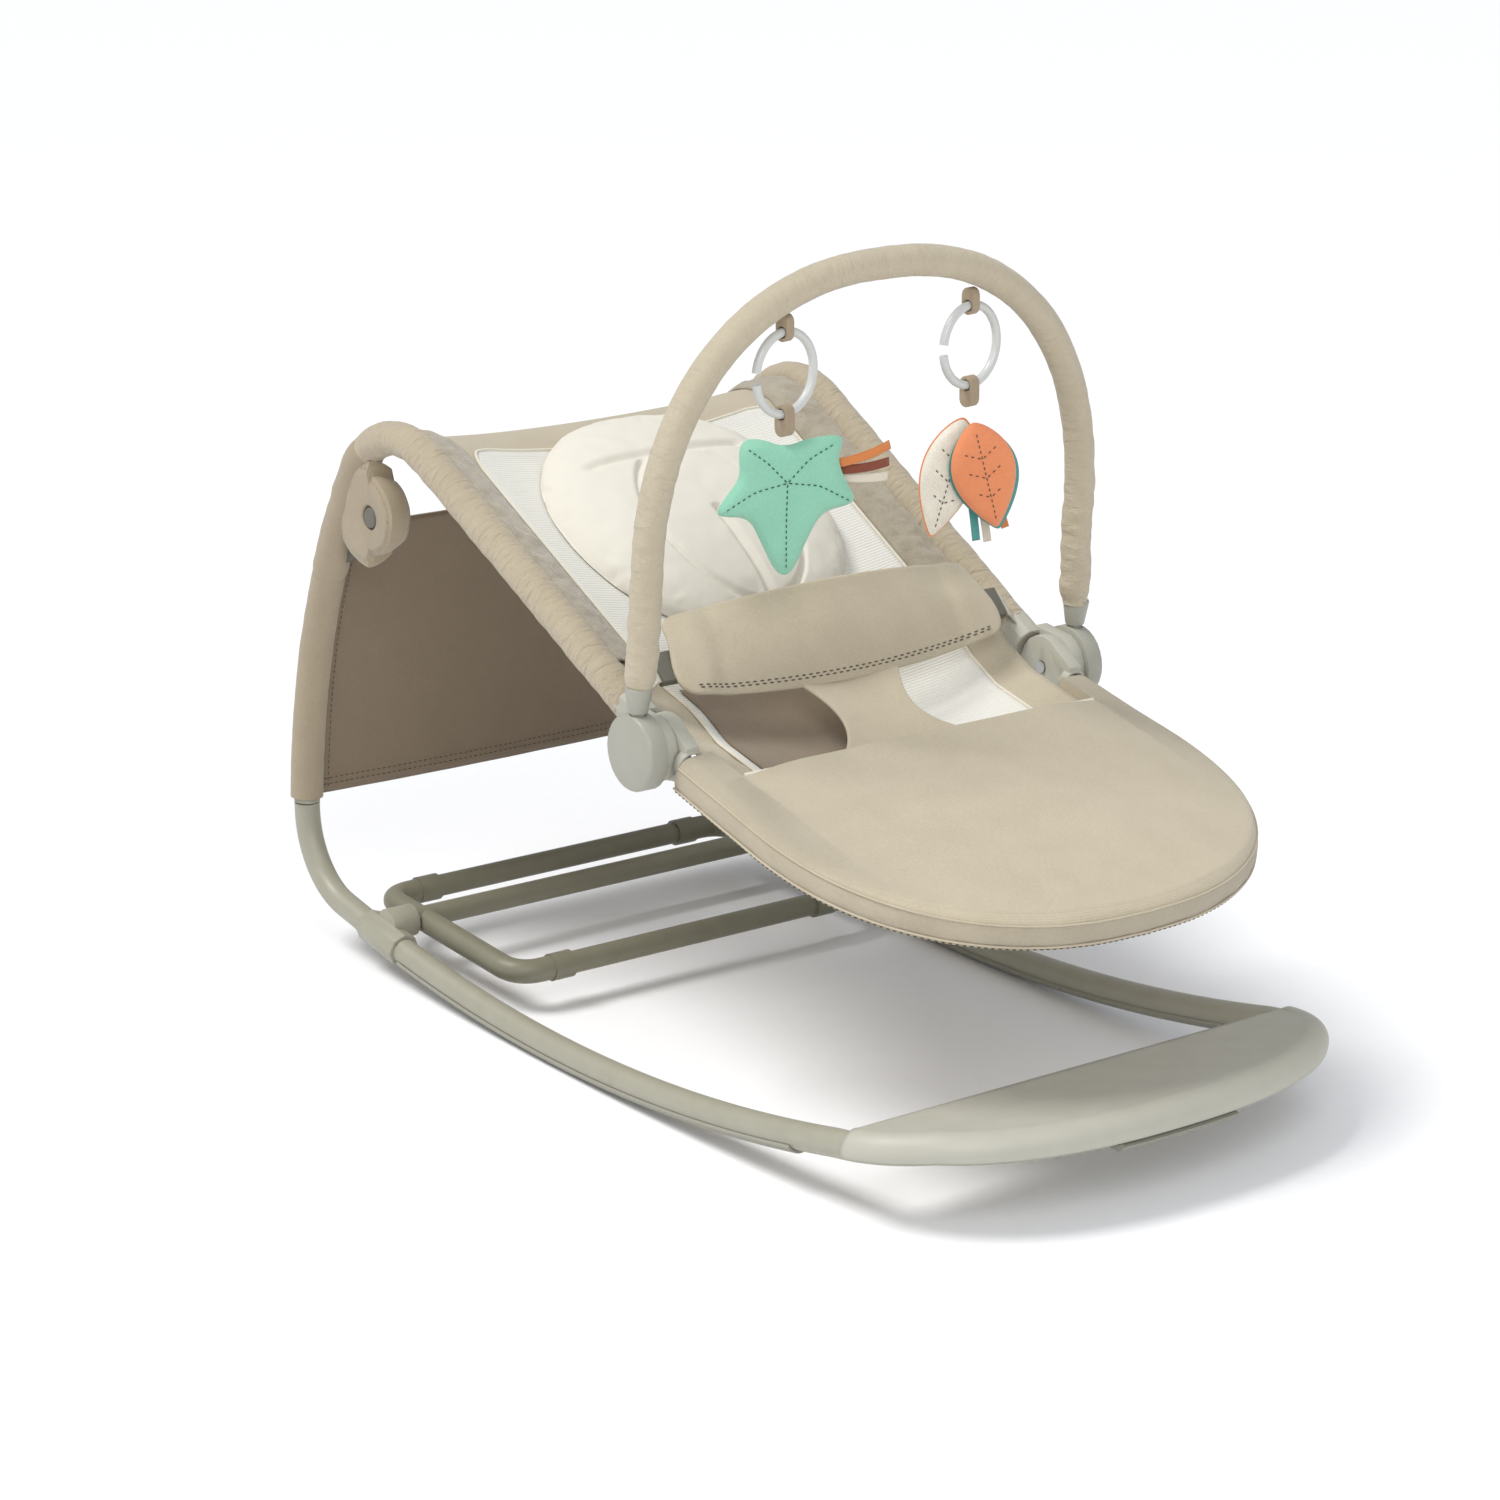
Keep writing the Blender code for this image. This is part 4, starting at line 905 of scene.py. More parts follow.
def across_hub(piece: Piece, finish: object, stands_for: Sequence[str] = ()) -> None:
    """Dress a piece of seat cloth that runs over the hub axis from the seat to the leg rest, baked in place.
    """
    bend_piece(piece, ("seat_frame", "leg_rest"), finish, stands_for)


def dress(piece: Piece, finish: object, stands_for: Sequence[str] = ()) -> None:
    """Give a piece its material, and hide the frame's parts that it stands for.

    Args:
        piece: The finished piece.
        finish: Cloth or Hard finish.
        stands_for: Parts of the frame that it replaces.
    """
    piece.data.materials.clear()
    piece.data.materials.append(finish.material())
    if stands_for:
        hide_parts(*stands_for)


def dress_node(node: str, finish: object) -> None:
    """Give a part of the frame that stays in view its material."""
    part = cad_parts[node]
    part.data.materials.clear()
    part.data.materials.append(finish.material())
    LOG.info("%s keeps its own shape", node)


# ---- base
@dataclass
class FloorLoop:
    """Bent floor tube with rocker strips, tee connectors and the crossbar."""
    bar_radius: float = 0.0095
    crossbar_half: float = 0.196
    crossbar_y: float = 0.314
    crossbar_z: float = 0.0445
    rear_turn: float = -79.5
    strip_back: float = 0.225
    strip_front: float = 0.325
    strip_gap: float = 0.0004
    strip_reach: float = 65.0
    strip_wall: float = 0.0020
    pad_half_width: float = 0.056
    pad_reach: float = 55.0
    pad_wall: float = 0.0044

    def loop_line(self) -> list[Vector]:
        """Centre line of the whole tube.

        Returns:
            Points from the right slip joint round the front bow to the left one.
        """
        plan = LAYOUT
        centre = Vector((plan.half_width, plan.rear_bend_y, plan.rear_bend_z))
        right = [Vector((plan.half_width, plan.rear_bend_y + plan.rear_bend_radius, plan.slip_joint_z))]
        right += arc(centre, plan.rear_bend_radius, 0.0, self.rear_turn, 24)
        right += plan.runner(1, plan.runner_end, plan.bow_back + 0.002)
        left = [Vector((-point.x, point.y, point.z)) for point in reversed(right)]
        return evenly(right + plan.bow() + left, 0.006)

    def strip(self, name: str, line: Sequence[Vector], reach: float, wall: float) -> Piece:
        """A strip that hugs the underside of the tube.

        Args:
            name: Name of the piece.
            line: Centre line of the tube.
            reach: How far it wraps to each side of straight down, in degrees.
            wall: Thickness of the strip.

        Returns:
            The new object.
        """
        inner = LAYOUT.loop_radius + self.strip_gap
        outer = inner + wall

        def section(share: float, distance: float) -> tuple:
            """Point of the C-shaped section."""
            outside = share < 0.5
            turn = (share * 2 if outside else 2 - share * 2) * 2 - 1
            angle = math.radians(reach * turn)
            reach_out = outer if outside else inner
            return (-reach_out * math.cos(angle), reach_out * math.sin(angle))
        return swept(name, line, AXIS_Z, section, 40, 0.05)

    def build(self) -> None:
        """Build and dress the floor loop."""
        loop = tube("floor_loop", self.loop_line(), LAYOUT.loop_radius, AXIS_Z, 32)
        place_piece(loop, "base", PAINT, ["floor_loop_tube"])
        for word, side in SIDES.items():
            back, front = LAYOUT.low_y + self.strip_back, LAYOUT.low_y - self.strip_front
            line = LAYOUT.runner(side, back, front, 0.012)
            strip = self.strip(f"{word}_rocker_grip", line, self.strip_reach, self.strip_wall)
            place_piece(strip, "base", RUBBER, [f"{word}_rocker_strip"])
            tee = refined(f"{word}_tee_connector", f"{word}_tee_moulding")
            place_piece(tee, "base", PAINT)
        middle = [point for point in LAYOUT.bow() if abs(point.x) < self.pad_half_width]
        pad = self.strip("front_grip", evenly(middle, 0.004), self.pad_reach, self.pad_wall)
        place_piece(pad, "base", RUBBER, ["front_grip_pad"])
        ends = [Vector((side * self.crossbar_half, self.crossbar_y, self.crossbar_z)) for side in (-1, 1)]
        bar = tube("crossbar", evenly(ends, 0.02), self.bar_radius, AXIS_Z)
        place_piece(bar, "base", PAINT_STAND, ["crossbar_tube"])


@dataclass
class Footplate:
    """Moulded crescent that fills the front bow and rolls over the tube."""
    back_y: float = -0.332
    rim_radius: float = 0.012
    wall: float = 0.0024
    web_share: float = 0.35
    inner_turn: float = -25.0
    outer_turn: float = 112.0

    def build(self) -> None:
        """Build and dress the footplate."""
        line = evenly([point for point in LAYOUT.bow() if point.y < self.back_y - 0.002], 0.004)
        columns = len(line) - 1

        def place(across: float, along: float) -> Vector:
            """Point of the plate, from its straight rear edge over the rim and under it."""
            index = round(across * columns)
            centre = line[index]
            ahead = (line[min(index + 1, columns)] - line[max(index - 1, 0)]).normalized()
            outward = ahead.cross(AXIS_Z).normalized()
            outward = outward if outward.y < 0 else -outward
            share = max(along - self.web_share, 0.0) / (1 - self.web_share)
            angle = math.radians(self.inner_turn + (self.outer_turn - self.inner_turn) * share)
            point = centre + self.rim_radius * (AXIS_Z * math.cos(angle) + math.sin(angle) * outward)
            if along < self.web_share:
                height = LAYOUT.runner_z(self.back_y) + point.z - centre.z
                rest = Vector((point.x, self.back_y, height))
                point = rest.lerp(point, along / self.web_share)
            return point
        plate = surface("footplate_moulding", place, columns, 40, (0.5, 0.16))
        thicken(plate, self.wall, 1.0)
        place_piece(plate, "base", MOULDED, ["footplate"])


@dataclass
class Stand:
    """Loop under the base that flips over to stop the rocking."""
    bar_radius: float = 0.0095
    half_length: float = 0.150
    front: Pair = (0.1685, 0.034)
    rear: Pair = (0.376, 0.0445)
    pivot_y: float = 0.314
    side_x: float = 0.1785
    side_radius: float = 0.0102
    collar_radius: float = 0.0116
    socket_x: float = 0.128
    collar_reach: Pair = (-0.002, 0.018)
    bend: float = 0.026

    def side_line(self, side: int) -> list[Vector]:
        """Centre line of one side of the stand.

        Args:
            side: -1 for the left side and 1 for the right one.

        Returns:
            Points from the front bar round two bends to the rear bar.
        """
        def height(y: float) -> float:
            """Height of the centre line at a Y."""
            share = min(max((y - self.front[0]) / (self.pivot_y - self.front[0]), 0.0), 1.0)
            return self.front[1] + (self.rear[1] - self.front[1]) * share
        plan = [(self.socket_x, self.front[0])]
        for y, way in ((self.front[0], 1), (self.rear[0], -1)):
            start, corner = (self.side_x - self.bend, y), (self.side_x, y)
            end = (self.side_x, y + way * self.bend)
            first, last = (start, end) if way > 0 else (end, start)
            for step in range(13):
                share = step / 12
                weights = ((1 - share) ** 2, 2 * share * (1 - share), share ** 2)
                plan.append(tuple(sum(weight * point[axis] for weight, point in
                                      zip(weights, (first, corner, last))) for axis in (0, 1)))
        plan.append((self.socket_x, self.rear[0]))
        return evenly([Vector((side * x, y, height(y))) for x, y in plan], 0.004)

    def build(self) -> None:
        """Build and dress the stand."""
        for word, (y, z) in {"front": self.front, "rear": self.rear}.items():
            ends = [Vector((side * self.half_length, y, z)) for side in (-1, 1)]
            bar = tube(f"{word}_stand_tube", evenly(ends, 0.02), self.bar_radius, AXIS_Z)
            place_piece(bar, "stand", PAINT_STAND, [f"stand_{word}_bar"])
        for word, side in SIDES.items():
            bend = tube(f"{word}_stand_bend", self.side_line(side), self.side_radius, AXIS_Z, 32)
            place_piece(bend, "stand", PAINT_STAND, [f"{word}_stand_end"])
            for place, (y, z) in {"front": self.front, "rear": self.rear}.items():
                ends = [Vector((side * (self.socket_x + reach), y, z)) for reach in self.collar_reach]
                name = f"{word}_{place}_stand_collar"
                collar = tube(name, evenly(ends, 0.004), self.collar_radius, AXIS_Z)
                place_piece(collar, "stand", PAINT_STAND)


# ---- seat frame in its sleeves
@dataclass
class SeatFrame:
    """Uprights, rails, recline joints and hubs, with the fabric sleeves round the tubes."""
    tube_radius: float = 0.0112
    sleeve_radius: float = 0.0143
    sleeve_start: float = 0.0055
    bridge_start: float = 0.215
    bridge_end: float = 0.352
    overlap: float = 0.004
    sleeve_end_gap: float = 0.050
    upright_end: float = 0.250
    rail_start: float = 0.318
    rail_end_gap: float = 0.0278
    upright_folds: float = 0.0007
    bridge_folds: float = 0.0013
    rail_folds: float = 0.0014
    bridge_fullness: float = 0.0016
    bridge_ease: float = 0.0006
    tuck: float = 0.014
    tab_root: float = 0.285
    tab_reach: float = 0.033
    tab_stretch: float = 0.026
    tab_x: float = 0.2152
    tab_depth: float = 0.021
    hole_radius: float = 0.0102

    def folds(self, seed: float, depth: float) -> Relief:
        """Relief of a sleeve that is bunched along its tube.

        Args:
            seed: Where in the noise the folds are read.
            depth: Height of the folds.

        Returns:
            A function of the angle and the distance along the sleeve.
        """
        def relief(angle: float, distance: float) -> float:
            """Extra radius at a point of the sleeve."""
            spot = Vector((math.cos(angle) * 0.7 + seed, math.sin(angle) * 0.7, distance / 0.011))
            broad = Vector((math.cos(angle), math.sin(angle) + seed, distance / 0.05))
            return depth * (0.6 * noise.noise(spot) + 0.5 * noise.noise(broad))
        return relief

    def bunched(self, seed: float) -> Relief:
        """Relief of the sleeve round the fold joint: full in the middle, tucked in at both ends.

        Args:
            seed: Where in the noise the folds are read.

        Returns:
            A function of the angle and the distance along the sleeve.
        """
        creases = self.folds(seed, self.bridge_folds)
        length = self.bridge_end - self.bridge_start + 2 * self.overlap

        def relief(angle: float, distance: float) -> float:
            """Extra radius at a point of the sleeve."""
            full = smoothstep(0.0, self.tuck, min(distance, length - distance))
            return (self.bridge_fullness + creases(angle, distance)) * full
        return relief

    def build(self) -> None:
        """Build and dress the seat frame."""
        end = LAYOUT.length()
        for word, side in SIDES.items():
            line = LAYOUT.frame_line(side, 0.001, self.upright_end, 0.008)
            upright = tube(f"{word}_upright", line, self.tube_radius)
            place_piece(upright, "base", PAINT, [f"{word}_upright_tube"])
            line = LAYOUT.frame_line(side, self.rail_start, end - self.rail_end_gap, 0.008)
            rail = tube(f"{word}_rail", line, self.tube_radius)
            place_piece(rail, "seat_frame", PAINT, [f"{word}_rail_tube"])
            line = LAYOUT.frame_line(side, self.sleeve_start, self.bridge_start)
            lower = tube(f"{word}_upright_sleeve", line, self.sleeve_radius, capped=False,
                         relief=self.folds(side * 3.0, self.upright_folds))
            place_piece(lower, "base", REAR)
            low, high = self.bridge_start - self.overlap, self.bridge_end + self.overlap
            middle = LAYOUT.frame_line(side, low, high)
            bridge = tube(f"{word}_fold_sleeve", middle, self.sleeve_radius - self.bridge_ease,
                          capped=False, relief=self.bunched(side * 5.0))
            bend_piece(bridge, ("base", "seat_frame"), REAR)
            line = LAYOUT.frame_line(side, self.bridge_end, end - self.sleeve_end_gap, 0.0025)
            upper = tube(f"{word}_rail_sleeve", line, self.sleeve_radius, capped=False,
                         relief=self.folds(side * 7.0, self.rail_folds))
            place_piece(upper, "seat_frame", TAUPE_CRUSHED)
            for node, body in (("joint_housing", "base"), ("joint_arm", "seat_frame"),
                               ("recline_button", f"{word}_button")):
                part = refined(f"{word}_{node}", f"{word}_{node}_moulding", 0.0006)
                place_piece(part, body, MOULDED_DARK)
            for node in ("joint_pin", "hub_pin"):
                dress_node(f"{word}_{node}", STEEL)
            hub = refined(f"{word}_rail_hub", f"{word}_rail_hub_moulding")
            place_piece(hub, "seat_frame", MOULDED)
            self.build_tab(word, side)

    def build_tab(self, word: str, side: int) -> None:
        """Build the round fabric tab that shows the recline button through a hole.

        Args:
            word: Name of the side.
            side: -1 for the left side and 1 for the right one.
        """
        y, z, _ = LAYOUT.frame_point(self.tab_root)
        root = Vector((y - 0.008, z))
        centre = Vector((LAYOUT.fold_y + 0.004, LAYOUT.fold_z + 0.001))

        def place(across: float, along: float) -> Vector:
            """Point of the tab: rings from the button's hole out to a D-shaped edge."""
            angle = math.tau * across
            direction = Vector((math.cos(angle), math.sin(angle)))
            hole = Vector((LAYOUT.fold_y, LAYOUT.fold_z)) + direction * self.hole_radius
            rim = centre + direction * self.tab_reach
            if direction.x > 0.0:
                rim.x += direction.x * self.tab_stretch
                rim.y += direction.x * (root.y - centre.y) * 0.4 + direction.y * 0.012
            wall = max(along - 0.7, 0.0) / 0.3
            spot = hole.lerp(rim, min(along / 0.7, 1.0)).lerp(centre, 0.20 * wall ** 2)
            out = self.tab_x - 0.0030 * smoothstep(0.5, 0.7, along) - self.tab_depth * wall
            puff = 0.0009 * noise.noise(Vector((spot.x * 70, spot.y * 70, side)))
            return Vector((side * (out + puff), spot.x, spot.y))
        tab = surface(f"{word}_button_tab", place, 72, 20, (0.18, 0.05), wrapped=True)
        thicken(tab, 0.0018, 0.0)
        place_piece(tab, "base", REAR)
        angles = [math.tau * index / 60 for index in range(61)]
        edge = [place((angle / math.tau) % 1.0, 0.60) for angle in angles if math.cos(angle) < 0.3]
        lifted = [point + AXIS_X * side * 0.0012 for point in edge]
        seam = stitches(f"{word}_tab_stitches", lifted, lambda point: AXIS_X * side)
        place_piece(seam, "base", THREAD_TONAL)


@dataclass
class RearCover:
    """Fabric panel between the uprights, with a stitched hem."""
    start: float = 0.0055
    end: float = 0.262
    bow_in: float = 0.010
    tube_gap: float = 0.0095
    hem_lift: float = 0.0014
    hem_rows: Pair = (0.030, 0.050)
    edge_share: float = 0.475

    def place(self, across: float, along: float) -> Vector:
        """Point of the panel; the cloth hangs a little slack between the tubes.

        Args:
            across: Share from the left tube to the right one.
            along: Share from the lower edge to the upper one.

        Returns:
            The point.
        """
        distance = self.start + (self.end - self.start) * along
        y, z, _ = LAYOUT.frame_point(distance)
        share = across * 2 - 1
        half = LAYOUT.frame_x(distance) - self.tube_gap
        slack = self.bow_in * (1 - share ** 2) * math.sin(math.pi * min(along * 0.8 + 0.2, 1.0))
        fold = 0.0012 * noise.noise(Vector((share * 4.0, along * 2.5, 3.0)))
        return Vector((half * share, y - slack + fold, z))

    def hem_line(self, along: float, lift: float) -> list[Vector]:
        """Points across the panel at a share of its height, lifted off the cloth towards -Y."""
        return [self.place(index / 80, along) + Vector((0.0, -lift, 0.0)) for index in range(1, 80)]

    def build(self) -> None:
        """Build and dress the rear cover."""
        panel = surface("rear_panel", self.place, 72, 40, (0.40, 0.26))
        thicken(panel, 0.0022)
        place_piece(panel, "base", REAR_LINING_AND_PAINTED_SHADE, ["rear_cover"])
        ahead = Vector((0.0, -1.0, 0.0))
        rows = [stitches("hem_row", self.hem_line(along, self.hem_lift), lambda point: ahead)
                for along in self.hem_rows]
        rows += [stitches("hem_row_back", self.hem_line(along, -self.hem_lift), lambda point: -ahead)
                 for along in self.hem_rows]
        for side in SIDES.values():
            across = 0.5 + side * self.edge_share
            edge = [self.place(across, index / 60) + ahead * self.hem_lift for index in range(1, 58)]
            rows.append(stitches("edge_row", edge, lambda point: ahead))
        seams = join_piece("rear_panel_stitches", rows)
        place_piece(seams, "base", THREAD_DARK)


# ---- seat
@dataclass
class Seat:
    """Sling between the rails: taupe border, ribbed panel, plush side strips and seams."""
    start: float = 0.340
    hub_overrun: float = 0.0775
    seam_half: float = 0.1735
    panel_start: float = 0.425
    panel_share: float = 0.80
    shoulder: float = 0.86
    corner: float = 0.05
    corner_power: float = 2.6
    rail_gap: float = 0.0085
    # Sizes of the dark patch that paints the shade in the left leg opening.
    shade_patch_start: float = 0.062
    shade_patch_end: float = 0.071
    shade_patch_share: float = 0.745
    shade_patch_corner: float = 0.030
    shade_patch_lift: float = 0.0042
    piping_lift: float = 0.0026
    strip_start: float = 0.352
    strip_end_gap: float = 0.095

    def half(self, distance: float) -> float:
        """Half width of the sling at a distance along the side line."""
        rail = LAYOUT.frame_x(min(distance, LAYOUT.length())) - self.rail_gap
        blend = smoothstep(LAYOUT.length() - 0.075, LAYOUT.length() - 0.030, distance)
        return rail + (self.seam_half - rail) * blend

    def point(self, distance: float, share: float, lift: float = 0.0) -> Vector:
        """Point of the sling at a share of its half width, lifted off the cloth."""
        half = self.half(distance)
        return LAYOUT.seat(distance, half * share, half, lift)

    def panel_half(self, distance: float) -> float:
        """Share of the half width that the ribbed panel takes, with rounded top corners."""
        reach = min(max((distance - self.panel_start) / self.corner, 0.0), 1.0)
        round_off = (1.0 - (1.0 - reach) ** self.corner_power) ** (1 / self.corner_power)
        return self.panel_share * (self.shoulder + 0.14 * round_off)

    def build(self) -> None:
        """Build and dress the sling."""
        end = LAYOUT.length() + self.hub_overrun
        length = end - self.start

        def sling(across: float, along: float) -> Vector:
            """Point of the sling."""
            share = across * 2 - 1
            distance = self.start + length * along
            ripple = 0.0012 * noise.noise(Vector((share * 6.0, distance * 60.0, 1.0)))
            ripple *= smoothstep(0.55, 0.85, abs(share)) * (1 - smoothstep(0.93, 1.0, abs(share)))
            return self.point(distance, share, ripple)
        cloth = surface("seat_sling_cloth", sling, 72, 110, (0.40, length))
        thicken(cloth, 0.0020)
        across_hub(cloth, TAUPE, ["seat_sling"])
        self.build_panel(end)
        self.build_strips()
        self.build_painted_shade_patch()

    def build_painted_shade_patch(self) -> None:
        """Build a dark patch in the left leg opening that paints the shade there; the right opening has
        none.
        """
        first, last = LAYOUT.length() - self.shade_patch_start, LAYOUT.length() + self.shade_patch_end

        def lining(across: float, along: float) -> Vector:
            """Point of the dark patch of painted shade, with a rounded corner towards the leg rest."""
            distance = first + (last - first) * along
            tail = max(last - distance, 0.0)
            outer = self.shade_patch_share
            if tail < self.shade_patch_corner:
                outer -= 0.17 * (1 - math.sqrt(max(1 - (1 - tail / self.shade_patch_corner) ** 2, 0.0)))
            return self.point(distance, -outer + outer * across, self.shade_patch_lift)
        patch = surface("leg_opening_painted_shade", lining, 32, 48, (0.11, 0.156))
        thicken(patch, 0.0010)
        # Painted shade: a dark sheet laid where the left leg opening only lies in shade.
        across_hub(patch, REAR_LINING_AND_PAINTED_SHADE)

    def build_panel(self, end: float) -> None:
        """Build the ribbed panel and the piping round it.

        Args:
            end: Distance along the side line where the panel ends.
        """
        length = end - self.panel_start

        def panel(across: float, along: float) -> Vector:
            """Point of the ribbed panel."""
            distance = self.panel_start + length * along
            share = (across * 2 - 1) * self.panel_half(distance)
            return self.point(distance, share, 0.0018)
        ribbed = surface("ribbed_seat_panel", panel, 64, 96, (0.32, length))
        thicken(ribbed, 0.0012)
        across_hub(ribbed, MESH_PANEL)
        rim = []
        for side in (-1, 1):
            edge = []
            for index in range(121):
                distance = self.panel_start + length * index / 120
                edge.append(self.point(distance, side * self.panel_half(distance), self.piping_lift))
            rim.append(edge)
        top = [self.point(self.panel_start, (index / 20 - 1) * self.panel_share * self.shoulder,
                          self.piping_lift) for index in range(1, 40)]
        line = evenly(list(reversed(rim[0])) + top + rim[1], 0.004)
        piping = tube("panel_piping", line, 0.0013, Vector((0.0, -0.4, 0.9)), 10)
        across_hub(piping, PIPING)

    def build_strips(self) -> None:
        """Build the plush strips inside the rails."""
        for word, side in SIDES.items():
            first, last = self.strip_start, LAYOUT.length() - self.strip_end_gap

            def strip(across: float, along: float, side: int = side) -> Vector:
                """Point of the plush strip, from the ribbed panel to the rail."""
                distance = first + (last - first) * along
                inner = self.panel_share + 0.012
                share = inner + (1.0 - inner) * across
                puff = 0.0045 * math.sin(math.pi * across) ** 0.7
                crumple = noise.noise(Vector((across * 3.0 + side, distance * 75.0, 4.0)))
                crumple += 0.5 * noise.noise(Vector((across * 7.0, distance * 160.0, side)))
                return self.point(distance, side * share, 0.0016 + puff * (1.0 + 0.55 * crumple))
            extent = (0.045, last - first)
            plush = surface(f"{word}_plush_strip", strip, 20, 150, extent, flipped=side < 0)
            thicken(plush, 0.0014)
            place_piece(plush, "seat_frame", PLUSH_TAUPE)


@dataclass
class BodyInsert:
    """Oval ivory cushion on the backrest, with sewn channels."""
    half_width: float = 0.128
    half_length: float = 0.134
    thickness: float = 0.062
    up_slope: float = 0.252
    slope: float = math.radians(27.7)
    sink: float = 0.030
    ring_half: float = 0.062
    ring_length: float = 0.090
    ring_y: float = 0.030
    head_seam_y: float = 0.056
    top_share: float = 0.66
    channel_depth: float = 0.0048
    cloth_gap: float = 0.0030

    def matrix(self) -> Matrix:
        """Place of the cushion: its Y runs up the backrest and its Z off it."""
        along = Vector((0.0, math.cos(self.slope), math.sin(self.slope)))
        off = Vector((0.0, -math.sin(self.slope), math.cos(self.slope)))
        centre = LAYOUT.hub() + along * self.up_slope - off * (self.sink - 0.004)
        return Matrix.Translation(centre) @ Matrix.Rotation(self.slope, 4, "X")

    def groove(self, x: float, y: float) -> float:
        """Depth share of the sewn channels: a ring, a seam under the head and one down the middle.

        Args:
            x: Distance from the cushion's middle line.
            y: Distance up the cushion from its centre.

        Returns:
            0 off the channels and 1 in them.
        """
        ring = math.hypot(x / self.ring_half, (y + self.ring_y) / self.ring_length)
        depth = bump(1.0, 0.055, ring) if y < self.head_seam_y else 0.0
        depth = max(depth, bump(self.head_seam_y, 0.0075, y) * (1.0 - smoothstep(0.070, 0.085, abs(x))))
        if y < -0.02 and ring < 1.0:
            depth = max(depth, bump(0.0, 0.006, x))
        return depth

    def height(self, x: float, y: float) -> float:
        """Height of the crowned top over the cushion's flat back."""
        reach = min((abs(x / self.half_width) ** 2.25 + abs(y / self.half_length) ** 2.25), 1.0)
        return self.thickness * (1.0 - reach) ** 0.34

    def build(self) -> None:
        """Build and dress the cushion."""
        shape = bmesh.new()
        bmesh.ops.create_uvsphere(shape, u_segments=96, v_segments=64, radius=1.0)
        for vert in shape.verts:
            spread = math.hypot(vert.co.x, vert.co.y)
            reach = math.sin(min(spread, 1.0) * math.pi / 2) if spread > 0 else 0.0
            scale = (reach / spread) if spread > 1e-6 else 1.0
            x, y = vert.co.x * scale * self.half_width, vert.co.y * scale * self.half_length
            if vert.co.z >= 0:
                z = self.height(x * 0.999, y * 0.999) * self.top_share
            else:
                z = -self.height(x * 0.999, y * 0.999) * 0.34
            vert.co = Vector((x, y, z))
        bmesh.ops.recalc_face_normals(shape, faces=shape.faces)
        cushion = new_piece("body_insert_cushion", shape, 180.0)
        inflate(cushion, 0.004, 0.010)
        self.sew(cushion)
        self.rest_on(cushion, bpy.data.objects["seat_sling_cloth"])
        cushion.data.transform(self.matrix())
        place_piece(cushion, "seat_frame", IVORY, ["body_insert"])

    def rest_on(self, cushion: Piece, cloth: Piece) -> None:
        """Flatten the cushion's underside against the cloth that it lies on.

        Args:
            cushion: The cushion, in its own axes.
            cloth: The cloth, in its place.
        """
        back = self.matrix().inverted()
        tree = BVHTree.FromPolygons([back @ vert.co for vert in cloth.data.vertices],
                                    [tuple(face.vertices) for face in cloth.data.polygons])
        for vert in cushion.data.vertices:
            hit = tree.ray_cast(Vector((vert.co.x, vert.co.y, 0.30)), Vector((0.0, 0.0, -1.0)))[0]
            if hit is not None:
                vert.co.z = max(vert.co.z, hit.z + self.cloth_gap)
        cushion.data.update()

    def sew(self, cushion: Piece) -> None:
        """Press the sewn channels into the top of the cushion."""
        for vert in cushion.data.vertices:
            if vert.co.z > 0.0:
                press = self.groove(vert.co.x, vert.co.y) * self.channel_depth
                pucker = 0.0008 * noise.noise(Vector((vert.co.x * 60, vert.co.y * 60, 2.0)))
                vert.co.z = max(vert.co.z - press + pucker, 0.0)
        cushion.data.update()


def inflate(piece: Piece, voxel: float, most: float, pressure: float = 4.0, frames: int = 14) -> None:
    """Swell a closed pad by cloth simulation, and keep the result as its mesh.

    Args:
        piece: The closed pad.
        voxel: Size of the remeshed faces.
        most: How far a point may move.
        pressure: Air pressure inside the pad.
        frames: Number of frames that the simulation runs.
    """
    remesh = piece.modifiers.new("remesh", "REMESH")
    remesh.mode = "VOXEL"
    remesh.voxel_size = voxel
    settle(piece)
    rest = [vert.co.copy() for vert in piece.data.vertices]
    cloth = piece.modifiers.new("cloth", "CLOTH")
    cloth.settings.use_pressure = True
    cloth.settings.uniform_pressure_force = pressure
    cloth.settings.effector_weights.gravity = 0.0
    cloth.settings.quality = 4
    scene = bpy.context.scene
    for number in range(1, frames + 1):
        scene.frame_set(number)
    settle(piece)
    for vert, place in zip(piece.data.vertices, rest):
        move = vert.co - place
        if move.length > most:
            vert.co = place + move.normalized() * most
    scene.frame_set(1)
    soften = piece.modifiers.new("soften", "SUBSURF")
    soften.levels = 1
    soften.render_levels = 1
    settle(piece)


